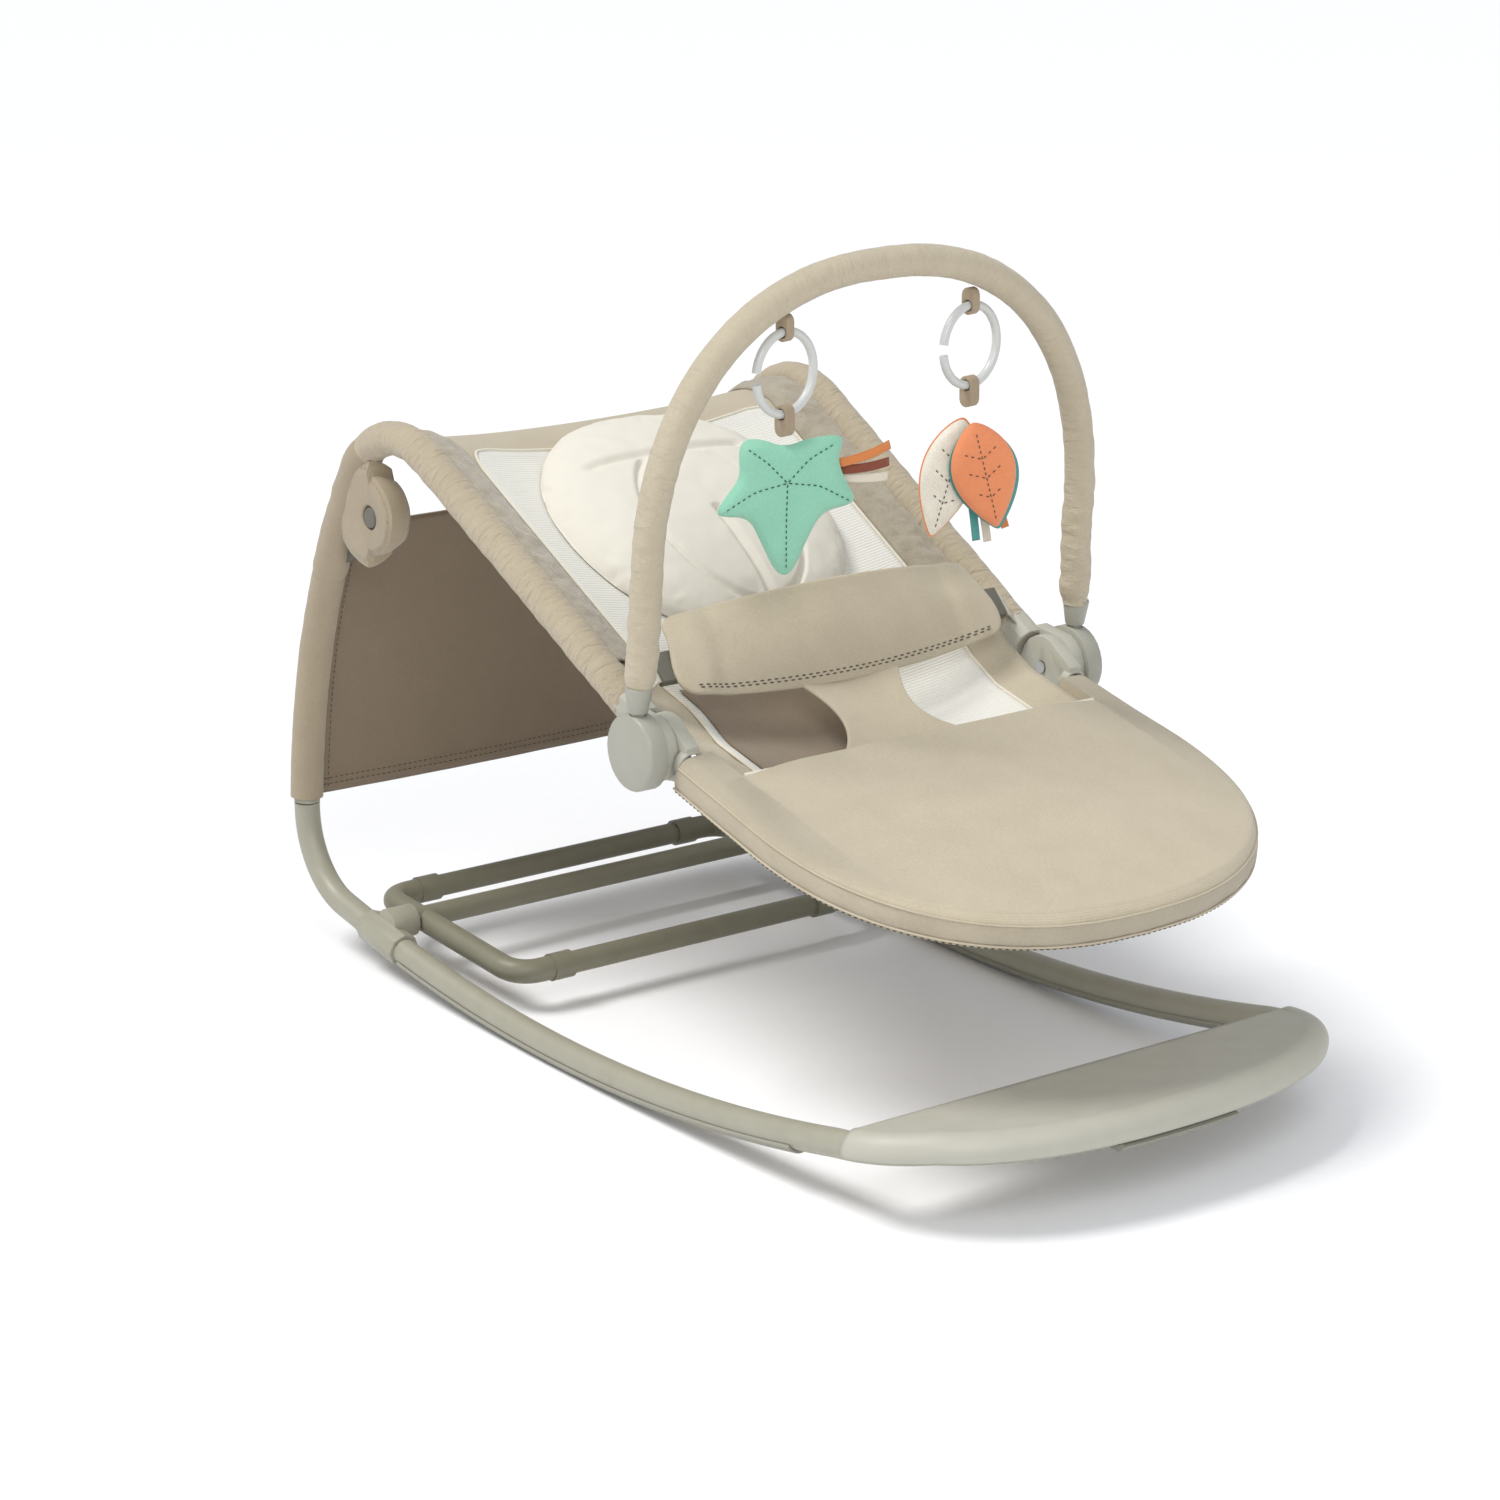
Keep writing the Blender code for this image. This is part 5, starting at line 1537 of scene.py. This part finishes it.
@dataclass
class WaistFlap:
    """Waist flap with its crotch piece, buckles and belts."""
    thickness: float = 0.0048
    corner: float = 0.16
    row_shares: Pair = (0.085, 0.115)
    belt_width: float = 0.022
    belt_lean: float = math.radians(45)

    def flap(self, across: float, along: float) -> Vector:
        """Point of the flap, with rounded corners."""
        share = across * 2 - 1
        edge = max(abs(along * 2 - 1) - (1 - self.corner * 2), 0.0) / (self.corner * 2)
        share *= 1 - 0.055 * (1 - math.sqrt(max(1 - edge ** 2, 0.0)))
        top = Vector((0.151 * share, -0.021 + 0.029 * share ** 2, 0.3865 - 0.0195 * share ** 2))
        share *= 1 + 0.05 * math.sin(math.pi * min(along * 1.3, 1.0))
        low = Vector((0.157 * share, -0.048 + 0.008 * share ** 2, 0.308 + 0.011 * share ** 2))
        point = low.lerp(top, along)
        belly = 0.0045 * math.sin(math.pi * along)
        wave = 0.0022 * noise.noise(Vector((share * 2.6, along * 1.8, 7.0)))
        over_buckle = 0.0055 * smoothstep(0.74, 0.88, abs(share))
        return point + Vector((0.0, -0.9, 0.45)) * (belly + wave + over_buckle)

    def crotch(self, across: float, along: float) -> Vector:
        """Point of the crotch piece, which flares towards the leg rest."""
        share = across * 2 - 1
        half = 0.050 - 0.016 * math.sin(math.pi * min(along * 1.15, 1.0)) + 0.036 * along ** 3
        y = -0.0455 - 0.0955 * along
        z = 0.3130 - 0.0435 * math.sin(along * math.pi / 2) + 0.0035 * math.sin(math.pi * along)
        return Vector((half * share, y, z - 0.004 * (1 - share ** 2)))

    def build(self) -> None:
        """Build and dress the flap and its fastenings."""
        flap = surface("waist_flap_cloth", self.flap, 72, 28, (0.285, 0.085), flipped=True)
        thicken(flap, self.thickness, 0.0, 1)
        place_piece(flap, "seat_frame", TAUPE, ["waist_flap"])
        crotch = surface("crotch_piece", self.crotch, 32, 40, (0.11, 0.11), flipped=True)
        thicken(crotch, 0.0034, 0.0, 1)
        across_hub(crotch, TAUPE)
        off = Vector((0.0, -0.9, 0.45)).normalized()
        rows = []
        for along in self.row_shares:
            line = [self.flap(index / 100, along) + off * (self.thickness / 2) for index in range(4, 97)]
            rows.append(stitches("flap_row", line, lambda point: off, 0.0040, 0.0026, 0.0013))
        thread = join_piece("flap_stitches", rows)
        place_piece(thread, "seat_frame", THREAD_DARK)
        for word, side in SIDES.items():
            for node in ("buckle", "buckle_tongue"):
                part = refined(f"{word}_{node}", f"{word}_{node}_moulding", 0.0009)
                place_piece(part, "seat_frame", MOULDED_DARK)
            self.build_belt(word, side)

    def build_belt(self, word: str, side: int) -> None:
        """Build the webbing belt between a buckle and the seat's edge.

        Args:
            word: Name of the side.
            side: -1 for the left side and 1 for the right one.
        """
        lean = self.belt_lean

        def belt(across: float, along: float) -> Vector:
            """Point of the belt."""
            span = (across - 0.5) * self.belt_width
            x = 0.1705 + 0.0125 * along
            dip = -0.010 * along ** 2
            return Vector((side * x, -0.024 + span * math.cos(lean), 0.339 + span * math.sin(lean) + dip))
        strap = surface(f"{word}_belt_webbing", belt, 12, 10, (self.belt_width, 0.016),
                        flipped=side > 0)
        thicken(strap, 0.0016)
        place_piece(strap, "seat_frame", WEBBING, [f"{word}_belt"])


# ---- leg rest
@dataclass
class LegRest:
    """Padded leg rest with a crowned top, a boxed side and a seam near its lower edge."""
    half_width: float = 0.2065
    back: float = 0.036
    curve_start: float = 0.150
    front: float = 0.353
    exponent: float = 2.3
    thickness: float = 0.024
    seam_start: float = 0.0785
    seam_half: float = 0.1735
    rear_taper: float = 0.004
    edge_round: float = 0.012
    pull: float = 0.9
    cord_up: Vector = field(default_factory=lambda: Vector((0.0, -0.2, 1.0)))

    def outline(self) -> list[Pair]:
        """Outer line of the pad.

        Returns:
            Points (x, forward) from the right rear end round the front to the left one.
        """
        bow = superellipse(self.half_width, self.front - self.curve_start, self.exponent, 400)
        line = [Vector((self.half_width - self.rear_taper, self.back, 0.0))]
        line += [Vector((x, self.curve_start + out, 0.0)) for x, out in bow]
        line.append(Vector((-self.half_width + self.rear_taper, self.back, 0.0)))
        return [(point.x, point.y) for point in evenly(line, 0.005)]

    def half_at(self, forward: float) -> float:
        """Half width of the pad at a distance forward of the hub axis."""
        if forward <= self.curve_start:
            taper = self.rear_taper * (self.curve_start - forward) / (self.curve_start - self.back)
            return self.half_width - taper
        out = min((forward - self.curve_start) / (self.front - self.curve_start), 1.0)
        return self.half_width * (1 - out ** self.exponent) ** (1 / self.exponent)

    def crown(self, x: float, forward: float) -> float:
        """Height of the padded top over the pad's middle plane.

        Args:
            x: Distance from the middle of the seat.
            forward: Distance forward of the hub axis.

        Returns:
            The height, which rounds off at the edge.
        """
        half = max(self.half_at(forward), 1e-4)
        edge = min(half - abs(x), (self.front - forward) * 1.2)
        rounding = math.sqrt(max(1 - (1 - min(max(edge, 0.0) / self.edge_round, 1.0)) ** 2, 0.0))
        swell = 0.006 * smoothstep(0.0, 0.09, edge)
        return self.thickness / 2 - 0.008 + 0.008 * rounding + swell - 0.004

    def build(self) -> None:
        """Build and dress the leg rest."""
        line = self.outline()
        columns = len(line) - 1

        def top(across: float, along: float) -> Vector:
            """Point of the top, from the seam with the seat to the rounded front edge."""
            x, forward = line[round(across * columns)]
            spot = self.inner(x, forward).lerp(Vector((x, forward)), along)
            crease = 0.0010 * noise.noise(Vector((spot.x * 14, spot.y * 14, 5.0)))
            return LAYOUT.leg(spot.x, spot.y, self.crown(spot.x, spot.y) + crease)

        def side(across: float, along: float) -> Vector:
            """Point of the boxed side and the underside, from the top edge inwards below."""
            x, forward = line[round(across * columns)]
            heading = Vector((x, forward - self.curve_start * self.pull)).normalized()
            ripple = noise.noise(Vector((across * 46.0, along * 2.0, 9.0)))
            if along < 0.5:
                drop = along / 0.5
                out = 0.0022 * math.sin(math.pi * drop) + 0.0013 * ripple * math.sin(math.pi * drop)
                up = self.crown(x, forward) - (self.thickness - 0.004) * drop
                return LAYOUT.leg(x + heading.x * out, forward + heading.y * out, up)
            inward = (along - 0.5) / 0.5
            spot = Vector((x, forward)).lerp(self.inner(x, forward), inward)
            low = self.crown(x, forward) - (self.thickness - 0.004)
            return LAYOUT.leg(spot.x, spot.y, low - 0.003 * math.sin(math.pi * inward))

        def wall(across: float, along: float) -> Vector:
            """Point of the wall at the seam with the seat, from the underside up to the top."""
            return side(across, 1.0).lerp(top(across, 0.0), along)
        cover = surface("leg_rest_top", top, columns, 48, (0.80, 0.28))
        box = surface("leg_rest_side", side, columns, 40, (0.80, 0.30), flipped=True)
        back = surface("leg_rest_wall", wall, columns, 4, (0.60, 0.02))
        pad = self.weld([cover, box, back])
        place_piece(pad, "leg_rest", TAUPE, ["leg_rest_pad", "leg_frame_tube"])
        self.build_seams(line)
        for word in SIDES:
            hub = refined(f"{word}_leg_hub", f"{word}_leg_hub_moulding")
            place_piece(hub, "leg_rest", MOULDED)

    def inner(self, x: float, forward: float) -> Vector:
        """Where the pad starts, across from a point of its outer line: the seam with the seat."""
        held = max(min(x, self.seam_half), -self.seam_half)
        return Vector((held, min(forward, self.seam_start)))

    def weld(self, members: Sequence[Piece]) -> Piece:
        """Join the top, the boxed side and the wall into one closed pad.

        Args:
            members: The three surfaces, which are removed.

        Returns:
            The closed pad.
        """
        shape = bmesh.new()
        for member in members:
            shape.from_mesh(member.data)
            bpy.data.objects.remove(member, do_unlink=True)
        bmesh.ops.remove_doubles(shape, verts=shape.verts, dist=2e-4)
        bmesh.ops.holes_fill(shape, edges=[edge for edge in shape.edges if edge.is_boundary])
        bmesh.ops.recalc_face_normals(shape, faces=shape.faces)
        return new_piece("leg_rest_cushion", shape, 75.0)

    def build_seams(self, line: Sequence[Pair]) -> None:
        """Build the piped edge, the lower seam and the seam with the seat.

        Args:
            line: Outer line (x, forward) of the pad.
        """
        def rim(up: float, out: float) -> list[Vector]:
            """Points round the edge at a height, moved outwards."""
            points = []
            for x, forward in line:
                heading = Vector((x, forward - self.curve_start * self.pull)).normalized()
                points.append(LAYOUT.leg(x + heading.x * out, forward + heading.y * out,
                                         self.crown(x, forward) + up))
            return evenly(points, 0.004)
        lower = -(self.thickness - 0.0075)
        cord = tube("leg_rest_lower_seam", rim(lower, 0.0022), 0.0009, self.cord_up, 8)
        place_piece(cord, "leg_rest", TAUPE)
        edge = tube("leg_rest_top_seam", rim(0.0002, 0.0004), 0.0009, self.cord_up, 8)
        place_piece(edge, "leg_rest", TAUPE)
        half = self.seam_half - 0.001
        path = [(-half, self.seam_start - 0.001), (half, self.seam_start - 0.001)]
        held = [LAYOUT.leg(x, forward, self.crown(x, forward) - 0.0005) for x, forward in path]
        seam = evenly(held, 0.004)
        piping = tube("leg_rest_piping", seam, 0.0019, self.cord_up, 10)
        place_piece(piping, "leg_rest", PIPING)
        thread = stitches("leg_rest_stitches", rim(lower - 0.0022, 0.0014),
                          lambda point: Vector((point.x, point.y - LAYOUT.hub_y, 0.0)).normalized())
        place_piece(thread, "leg_rest", THREAD_DARK)


# ---- toy arch
@dataclass
class ToyArch:
    """Padded arch on the hub discs, with its plugs and hanging loops."""
    base_x: float = 0.2168
    half_width: float = 0.2125
    bend_start: float = 0.130
    apex: float = 0.356
    exponent: float = 2.3
    sleeve_radius: float = 0.0124
    sleeve_start: float = 0.050

    def line(self) -> list[Vector]:
        """Centre line from the right plug over the top to the left plug."""
        share = self.sleeve_start / self.bend_start
        low = (self.base_x + (self.half_width - self.base_x) * share, self.sleeve_start)
        bow = superellipse(self.half_width, self.apex - self.bend_start, self.exponent, 400)
        flat = [low] + [(x, self.bend_start + out) for x, out in bow] + [(-low[0], low[1])]
        return evenly([LAYOUT.arch(x, out) for x, out in flat], 0.003)

    def build(self) -> None:
        """Build and dress the arch."""
        line = self.line()
        length = 0.003 * (len(line) - 1)

        def relief(angle: float, distance: float) -> float:
            """Folds of the sleeve: bunched low on the legs, calm over the top."""
            end = min(distance, length - distance)
            low = 1 - smoothstep(0.02, 0.22, end)
            spot = Vector((math.cos(angle) * 0.6, math.sin(angle) * 0.6, distance / 0.008))
            broad = Vector((math.cos(angle), math.sin(angle), distance / 0.06 + 9.0))
            taper = 0.0022 * (1 - smoothstep(0.0, 0.012, end))
            return (0.0012 * low + 0.0003) * noise.noise(spot) + 0.0006 * noise.noise(broad) - taper
        sleeve = tube("arch_padded_sleeve", line, self.sleeve_radius, Vector((0.0, -1.0, -0.06)), 36,
                      relief=relief)
        place_piece(sleeve, "toy_arch", TAUPE_SLEEVE, ["arch_sleeve", "arch_rod"])
        inner = [point + Vector((0.0, 0.0103, 0.0)) for point in line]
        seam = tube("arch_sleeve_seam", inner, 0.0028, Vector((0.0, -1.0, -0.06)), 8)
        place_piece(seam, "toy_arch", TAUPE_SLEEVE)
        for word in SIDES:
            plug = refined(f"{word}_arch_plug", f"{word}_arch_plug_moulding", 0.0005)
            place_piece(plug, "toy_arch", MOULDED_DISC)
            disc = refined(f"{word}_arch_mount", f"{word}_hub_disc", 0.0010)
            place_piece(disc, "arch_mounts", MOULDED_DISC)
            loop = refined(f"{word}_ring_loop", f"{word}_ring_tape", 0.0005)
            place_piece(loop, "toy_arch", TAPE)


@dataclass
class ToyRings:
    """Open plastic rings that the toys hang from."""
    radius: float = 0.0315
    section: float = 0.0035
    centre: Spot = (0.090, -0.081, 0.572)
    turn: float = math.radians(10)
    gap_side: float = 172.0

    def matrix(self, side: int) -> Matrix:
        """Place of a ring: its X runs across the ring and its Z is up."""
        x, y, z = self.centre
        return Matrix.Translation(Vector((side * x, y, z))) @ Matrix.Rotation(self.turn, 4, "Z")

    def build(self) -> None:
        """Build and dress the rings."""
        for word, side in SIDES.items():
            place = self.matrix(side)
            angles = [math.radians(self.gap_side * (1 - 2 * step / 96)) for step in range(97)]
            line = [place @ Vector((self.radius * math.cos(angle), 0.0, self.radius * math.sin(angle)))
                    for angle in angles]
            ring = tube(f"{word}_link_ring", line, self.section, place.to_3x3() @ Vector((0, 1, 0)), 20)
            place_piece(ring, f"{word}_ring", RING_PLASTIC, [f"{word}_ring"])
            loop = refined(f"{word}_toy_loop", f"{word}_toy_tape", 0.0005)
            place_piece(loop, f"{word}_toy", TAPE)


@dataclass
class Toys:
    """Stuffed leaves that hang from the rings, with stitched veins and ribbons."""
    turn: float = math.radians(-25)

    def matrix(self, side: int) -> Matrix:
        """Place of a toy: its X runs across, its Z is up and -Y faces forwards."""
        x, y, z = ToyRings().centre
        return Matrix.Translation(Vector((side * x, y, z))) @ Matrix.Rotation(self.turn, 4, "Z")

    def stuffed(self, name: str, outline: Sequence[Pair], centre: Pair,
                half_thickness: float, ahead: float) -> Piece:
        """A flat stuffed shape: rings shrink from the outline to its centre and rise.

        Args:
            name: Name of the piece.
            outline: Outer line (x, z).
            centre: Point (x, z) that the rings shrink to.
            half_thickness: Height of the crown over the edge.
            ahead: Distance in front of the ring's plane.

        Returns:
            The new object, in the toy's own axes.
        """
        corners = [Vector((x, 0.0, z)) for x, z in outline]
        for _ in range(3):
            pairs = list(zip(corners, corners[1:] + corners[:1]))
            corners = [a.lerp(b, share) for a, b in pairs for share in (0.25, 0.75)]
        closed = evenly(corners + [corners[0]], 0.0022)
        count = len(closed) - 1
        middle = Vector((centre[0], 0.0, centre[1]))

        def place(across: float, along: float) -> Vector:
            """Point of the stuffed shape: the back, the edge and the front."""
            rim = closed[round(across * count) % count]
            front = along * 2 - 1
            shrink = 1 - abs(front)
            swell = half_thickness * (1 - (1 - min(shrink * 2.6, 1.0)) ** 2) ** 0.5
            spot = rim.lerp(middle, shrink)
            return Vector((spot.x, -ahead - math.copysign(swell, front), spot.z))
        return surface(name, place, count, 24, (0.2, 0.1), wrapped=True)

    def veins(self, name: str, lines: Sequence[Sequence[tuple]], depth: float) -> Piece:
        """Rows of stitches on the front of a toy, in the toy's own axes."""
        rows = [stitches("vein", [Vector((x, -depth, z)) for x, z in line],
                         lambda point: Vector((0.0, -1.0, 0.0)), 0.0028, 0.0018, 0.0010) for line in lines]
        return join_piece(name, rows)

    def ribbon(self, name: str, root: Vector, tip: Vector, width: float, curl: float) -> Piece:
        """A flat ribbon, in the toy's own axes.

        Args:
            name: Name of the piece.
            root: Where the ribbon is sewn in.
            tip: Where it ends.
            width: Width of the ribbon.
            curl: How far its middle bends forwards.

        Returns:
            The new object.
        """
        ahead = tip - root
        side = ahead.cross(Vector((0.0, 1.0, 0.0))).normalized()

        def place(across: float, along: float) -> Vector:
            """Point of the ribbon."""
            bend = Vector((0.0, -curl * math.sin(math.pi * along), curl * 0.6 * along ** 2))
            return root + ahead * along + side * width * (across - 0.5) + bend
        strip = surface(name, place, 6, 20, (width, ahead.length))
        thicken(strip, 0.0008)
        return strip

    def leaf(self, tip: Pair, stem: Pair, half_width: float) -> list:
        """Pointed oval outline between a stem and a tip.

        Args:
            tip: Lower end (x, z).
            stem: Upper end (x, z).
            half_width: Half of the leaf's width.

        Returns:
            The outline's points (x, z).
        """
        start, end = Vector(stem), Vector(tip)
        along = end - start
        across = Vector((-along.y, along.x)).normalized()
        shares = [index / 24 for index in range(1, 24)]
        one = [start + along * share + across * half_width * math.sin(math.pi * share ** 0.85) ** 0.85
               for share in shares]
        two = [start + along * share - across * half_width * math.sin(math.pi * share ** 0.85) ** 0.85
               for share in reversed(shares)]
        return [tuple(point) for point in [start] + one + [end] + two]

    def hang(self, piece: Piece, side: int, finish: object,
             stands_for: Sequence[str] = ()) -> Piece:
        """Turn a toy's piece into place and fasten it to the toy."""
        piece.data.transform(self.matrix(side))
        word = "left" if side < 0 else "right"
        return place_piece(piece, f"{word}_toy", finish, stands_for)

    def build_star(self) -> None:
        """Build the five-lobed leaf with its veins and ribbons."""
        outline = [(0.0, -0.0575), (0.020, -0.0505), (0.0435, -0.0490), (0.0455, -0.0560), (0.0412, -0.0680),
                   (0.0470, -0.0850), (0.0560, -0.0997), (0.0500, -0.1050), (0.0300, -0.1085),
                   (0.0194, -0.1260), (0.0080, -0.1530), (0.0, -0.1590), (-0.0085, -0.1530),
                   (-0.0187, -0.1300), (-0.0280, -0.1108), (-0.0480, -0.1100), (-0.0537, -0.1060),
                   (-0.0450, -0.0930), (-0.0342, -0.0797), (-0.0360, -0.0600), (-0.0320, -0.0500),
                   (-0.0180, -0.0500)]
        star = self.stuffed("star_leaf_cushion", outline, (0.001, -0.090), 0.0065, 0.0)
        self.hang(star, -1, STAR_CLOTH, ["star_leaf"])
        core = (0.001, -0.084)
        lines = [[core, (0.0, -0.118), (0.0, -0.151)], [core, (0.018, -0.066), (0.037, -0.055)],
                 [core, (-0.014, -0.068), (-0.030, -0.056)], [core, (0.026, -0.087), (0.050, -0.100)],
                 [core, (-0.024, -0.090), (-0.047, -0.104)]]
        veins = self.veins("star_leaf_veins", lines, 0.0068)
        self.hang(veins, -1, THREAD_GREEN)
        fans = ((RIBBON_ORANGE, -0.072, 0.010, 0.0), (RIBBON_BROWN, -0.078, 0.002, 0.003),
                (RIBBON_CREAM, -0.084, -0.004, 0.006))
        for number, (finish, z, rise, ahead) in enumerate(fans):
            strip = self.ribbon(f"star_ribbon_{number + 1}", Vector((0.043, ahead + 0.002, z)),
                                Vector((0.083, ahead + 0.004, z + rise)), 0.0070, 0.004)
            self.hang(strip, -1, finish, ["left_ribbons"] if number == 0 else [])

    def build_leaves(self) -> None:
        """Build the orange leaf, the cream leaf and their ribbons."""
        orange = self.leaf((0.0225, -0.146), (0.001, -0.0595), 0.026)
        cream = self.leaf((-0.028, -0.154), (-0.003, -0.0595), 0.022)
        back = [(x * 1.08 + 0.001, z - 0.003) for x, z in orange]
        front = self.stuffed("orange_leaf_cushion", orange, (0.012, -0.104), 0.0045, 0.0075)
        self.hang(front, 1, ORANGE_CLOTH, ["orange_leaf"])
        lining = self.stuffed("orange_leaf_backing", back, (0.012, -0.104), 0.0012, 0.0020)
        self.hang(lining, 1, TEAL_CLOTH)
        pale = self.stuffed("cream_leaf_cushion", cream, (-0.016, -0.106), 0.0040, -0.0055)
        self.hang(pale, 1, CREAM_CLOTH, ["cream_leaf"])
        rim = [(-0.016 + (x + 0.016) * 1.05, -0.106 + (z + 0.106) * 1.03) for x, z in cream]
        border = self.stuffed("cream_leaf_border", rim, (-0.016, -0.106), 0.0010, -0.0065)
        self.hang(border, 1, ORANGE_CLOTH)
        for name, stem, tip, depth in (("orange", (0.003, -0.068), (0.0205, -0.138), 0.0122),
                                       ("cream", (-0.004, -0.070), (-0.026, -0.146), -0.0010)):
            start, end = Vector(stem), Vector(tip)
            across = Vector((-(end - start).y, (end - start).x)).normalized()
            lines = [[stem, tip]]
            for share, reach in ((0.30, 0.014), (0.52, 0.014), (0.74, 0.010)):
                root = start.lerp(end, share)
                for way in (-1, 1):
                    far = root + across * reach * way - (end - start).normalized() * reach * 0.55
                    lines.append([tuple(root), tuple(far)])
            veins = self.veins(f"{name}_leaf_veins", lines, depth)
            self.hang(veins, 1, THREAD_DARK)
        fans = ((TEAL_CLOTH, 0.004, -0.118, 0.010, -0.161, 0.010),
                (RIBBON_CREAM, 0.012, -0.118, 0.020, -0.163, 0.013),
                (RIBBON_ORANGE, 0.022, -0.118, 0.032, -0.150, 0.004))
        for number, (finish, x, z, far_x, far_z, ahead) in enumerate(fans):
            strip = self.ribbon(f"leaf_ribbon_{number + 1}", Vector((x, ahead, z)),
                                Vector((far_x, ahead, far_z)), 0.0065, 0.002)
            self.hang(strip, 1, finish, ["right_ribbons"] if number == 0 else [])

    def build(self) -> None:
        """Build and dress both toys."""
        self.build_star()
        self.build_leaves()


# ---- studio
@dataclass(frozen=True)
class Studio:
    """Pale floor, soft light and the camera."""
    place: Spot = (-1.9504, -2.5782, 1.2238)
    turn: float = math.radians(-36.2019)
    drop: float = math.radians(16.9574)
    lens: float = 100.70
    floor_half: float = 12.0
    world_strength: float = 0.54
    sky_colour: tuple[float, float, float, float] = (0.93, 0.96, 1.0, 1.0)
    sun_strength: float = 2.0
    sun_spread: float = math.radians(24.0)
    sun_colour: Colour = (1.0, 0.99, 0.965)
    sun_place: Spot = (-1.5, 0.9, 2.9)
    front_place: Spot = (-1.3, -2.6, 2.3)
    front_size: float = 2.2
    front_energy: float = 44.0
    aim: Spot = (0.0, 0.0, 0.25)

    def build_camera(self) -> None:
        """Add the camera."""
        data = bpy.data.cameras.new("camera")
        data.lens = self.lens
        data.sensor_width = 36.0
        data.clip_end = 60.0
        camera = bpy.data.objects.new("camera", data)
        bpy.context.scene.collection.objects.link(camera)
        camera.location = self.place
        camera.rotation_euler = (math.pi / 2 - self.drop, 0.0, self.turn)
        bpy.context.scene.camera = camera

    def build_floor(self) -> None:
        """Add the pale floor."""
        shape = bmesh.new()
        bmesh.ops.create_grid(shape, x_segments=2, y_segments=2, size=self.floor_half)
        floor = new_piece("studio_floor", shape)
        floor.data.materials.append(FLOOR_PAINT.material())

    def build_light(self, name: str, place: tuple, size: float, energy: float) -> None:
        """Add a soft area light that looks at the seat.

        Args:
            name: Name of the light.
            place: Where it stands.
            size: Its diameter.
            energy: Its power in watts.
        """
        data = bpy.data.lights.new(name, "AREA")
        data.shape = "DISK"
        data.size = size
        data.energy = energy
        lamp = bpy.data.objects.new(name, data)
        bpy.context.scene.collection.objects.link(lamp)
        lamp.location = place
        lamp.rotation_euler = (Vector(self.aim) - Vector(place)).to_track_quat("-Z", "Y").to_euler()

    def build_sun(self) -> None:
        """Add the key light: wide and even, from behind on the left, so that the floor stays white."""
        data = bpy.data.lights.new("key_light", "SUN")
        data.energy = self.sun_strength
        data.angle = self.sun_spread
        data.color = self.sun_colour
        lamp = bpy.data.objects.new("key_light", data)
        bpy.context.scene.collection.objects.link(lamp)
        lamp.location = self.sun_place
        lamp.rotation_euler = (-lamp.location).to_track_quat("-Z", "Y").to_euler()

    def build(self) -> None:
        """Add the whole studio."""
        self.build_camera()
        self.build_floor()
        world = bpy.data.worlds.new("studio_world")
        world.use_nodes = True
        sky = world.node_tree.nodes["Background"]
        sky.inputs["Color"].default_value = self.sky_colour
        sky.inputs["Strength"].default_value = self.world_strength
        bpy.context.scene.world = world
        self.build_sun()
        self.build_light("front_light", self.front_place, self.front_size, self.front_energy)
        LOG.info("studio is ready")


def main() -> None:
    """Build every sub-assembly in order."""
    logging.basicConfig(level=logging.INFO, format="%(message)s")
    bpy.context.scene.view_settings.view_transform = "Standard"
    for assembly in (Studio(), FloorLoop(), Footplate(), Stand(), SeatFrame(), RearCover(), Seat(),
                     BodyInsert(), WaistFlap(), LegRest(), ToyArch(), ToyRings(), Toys()):
        assembly.build()


if __name__ == "__main__":
    main()
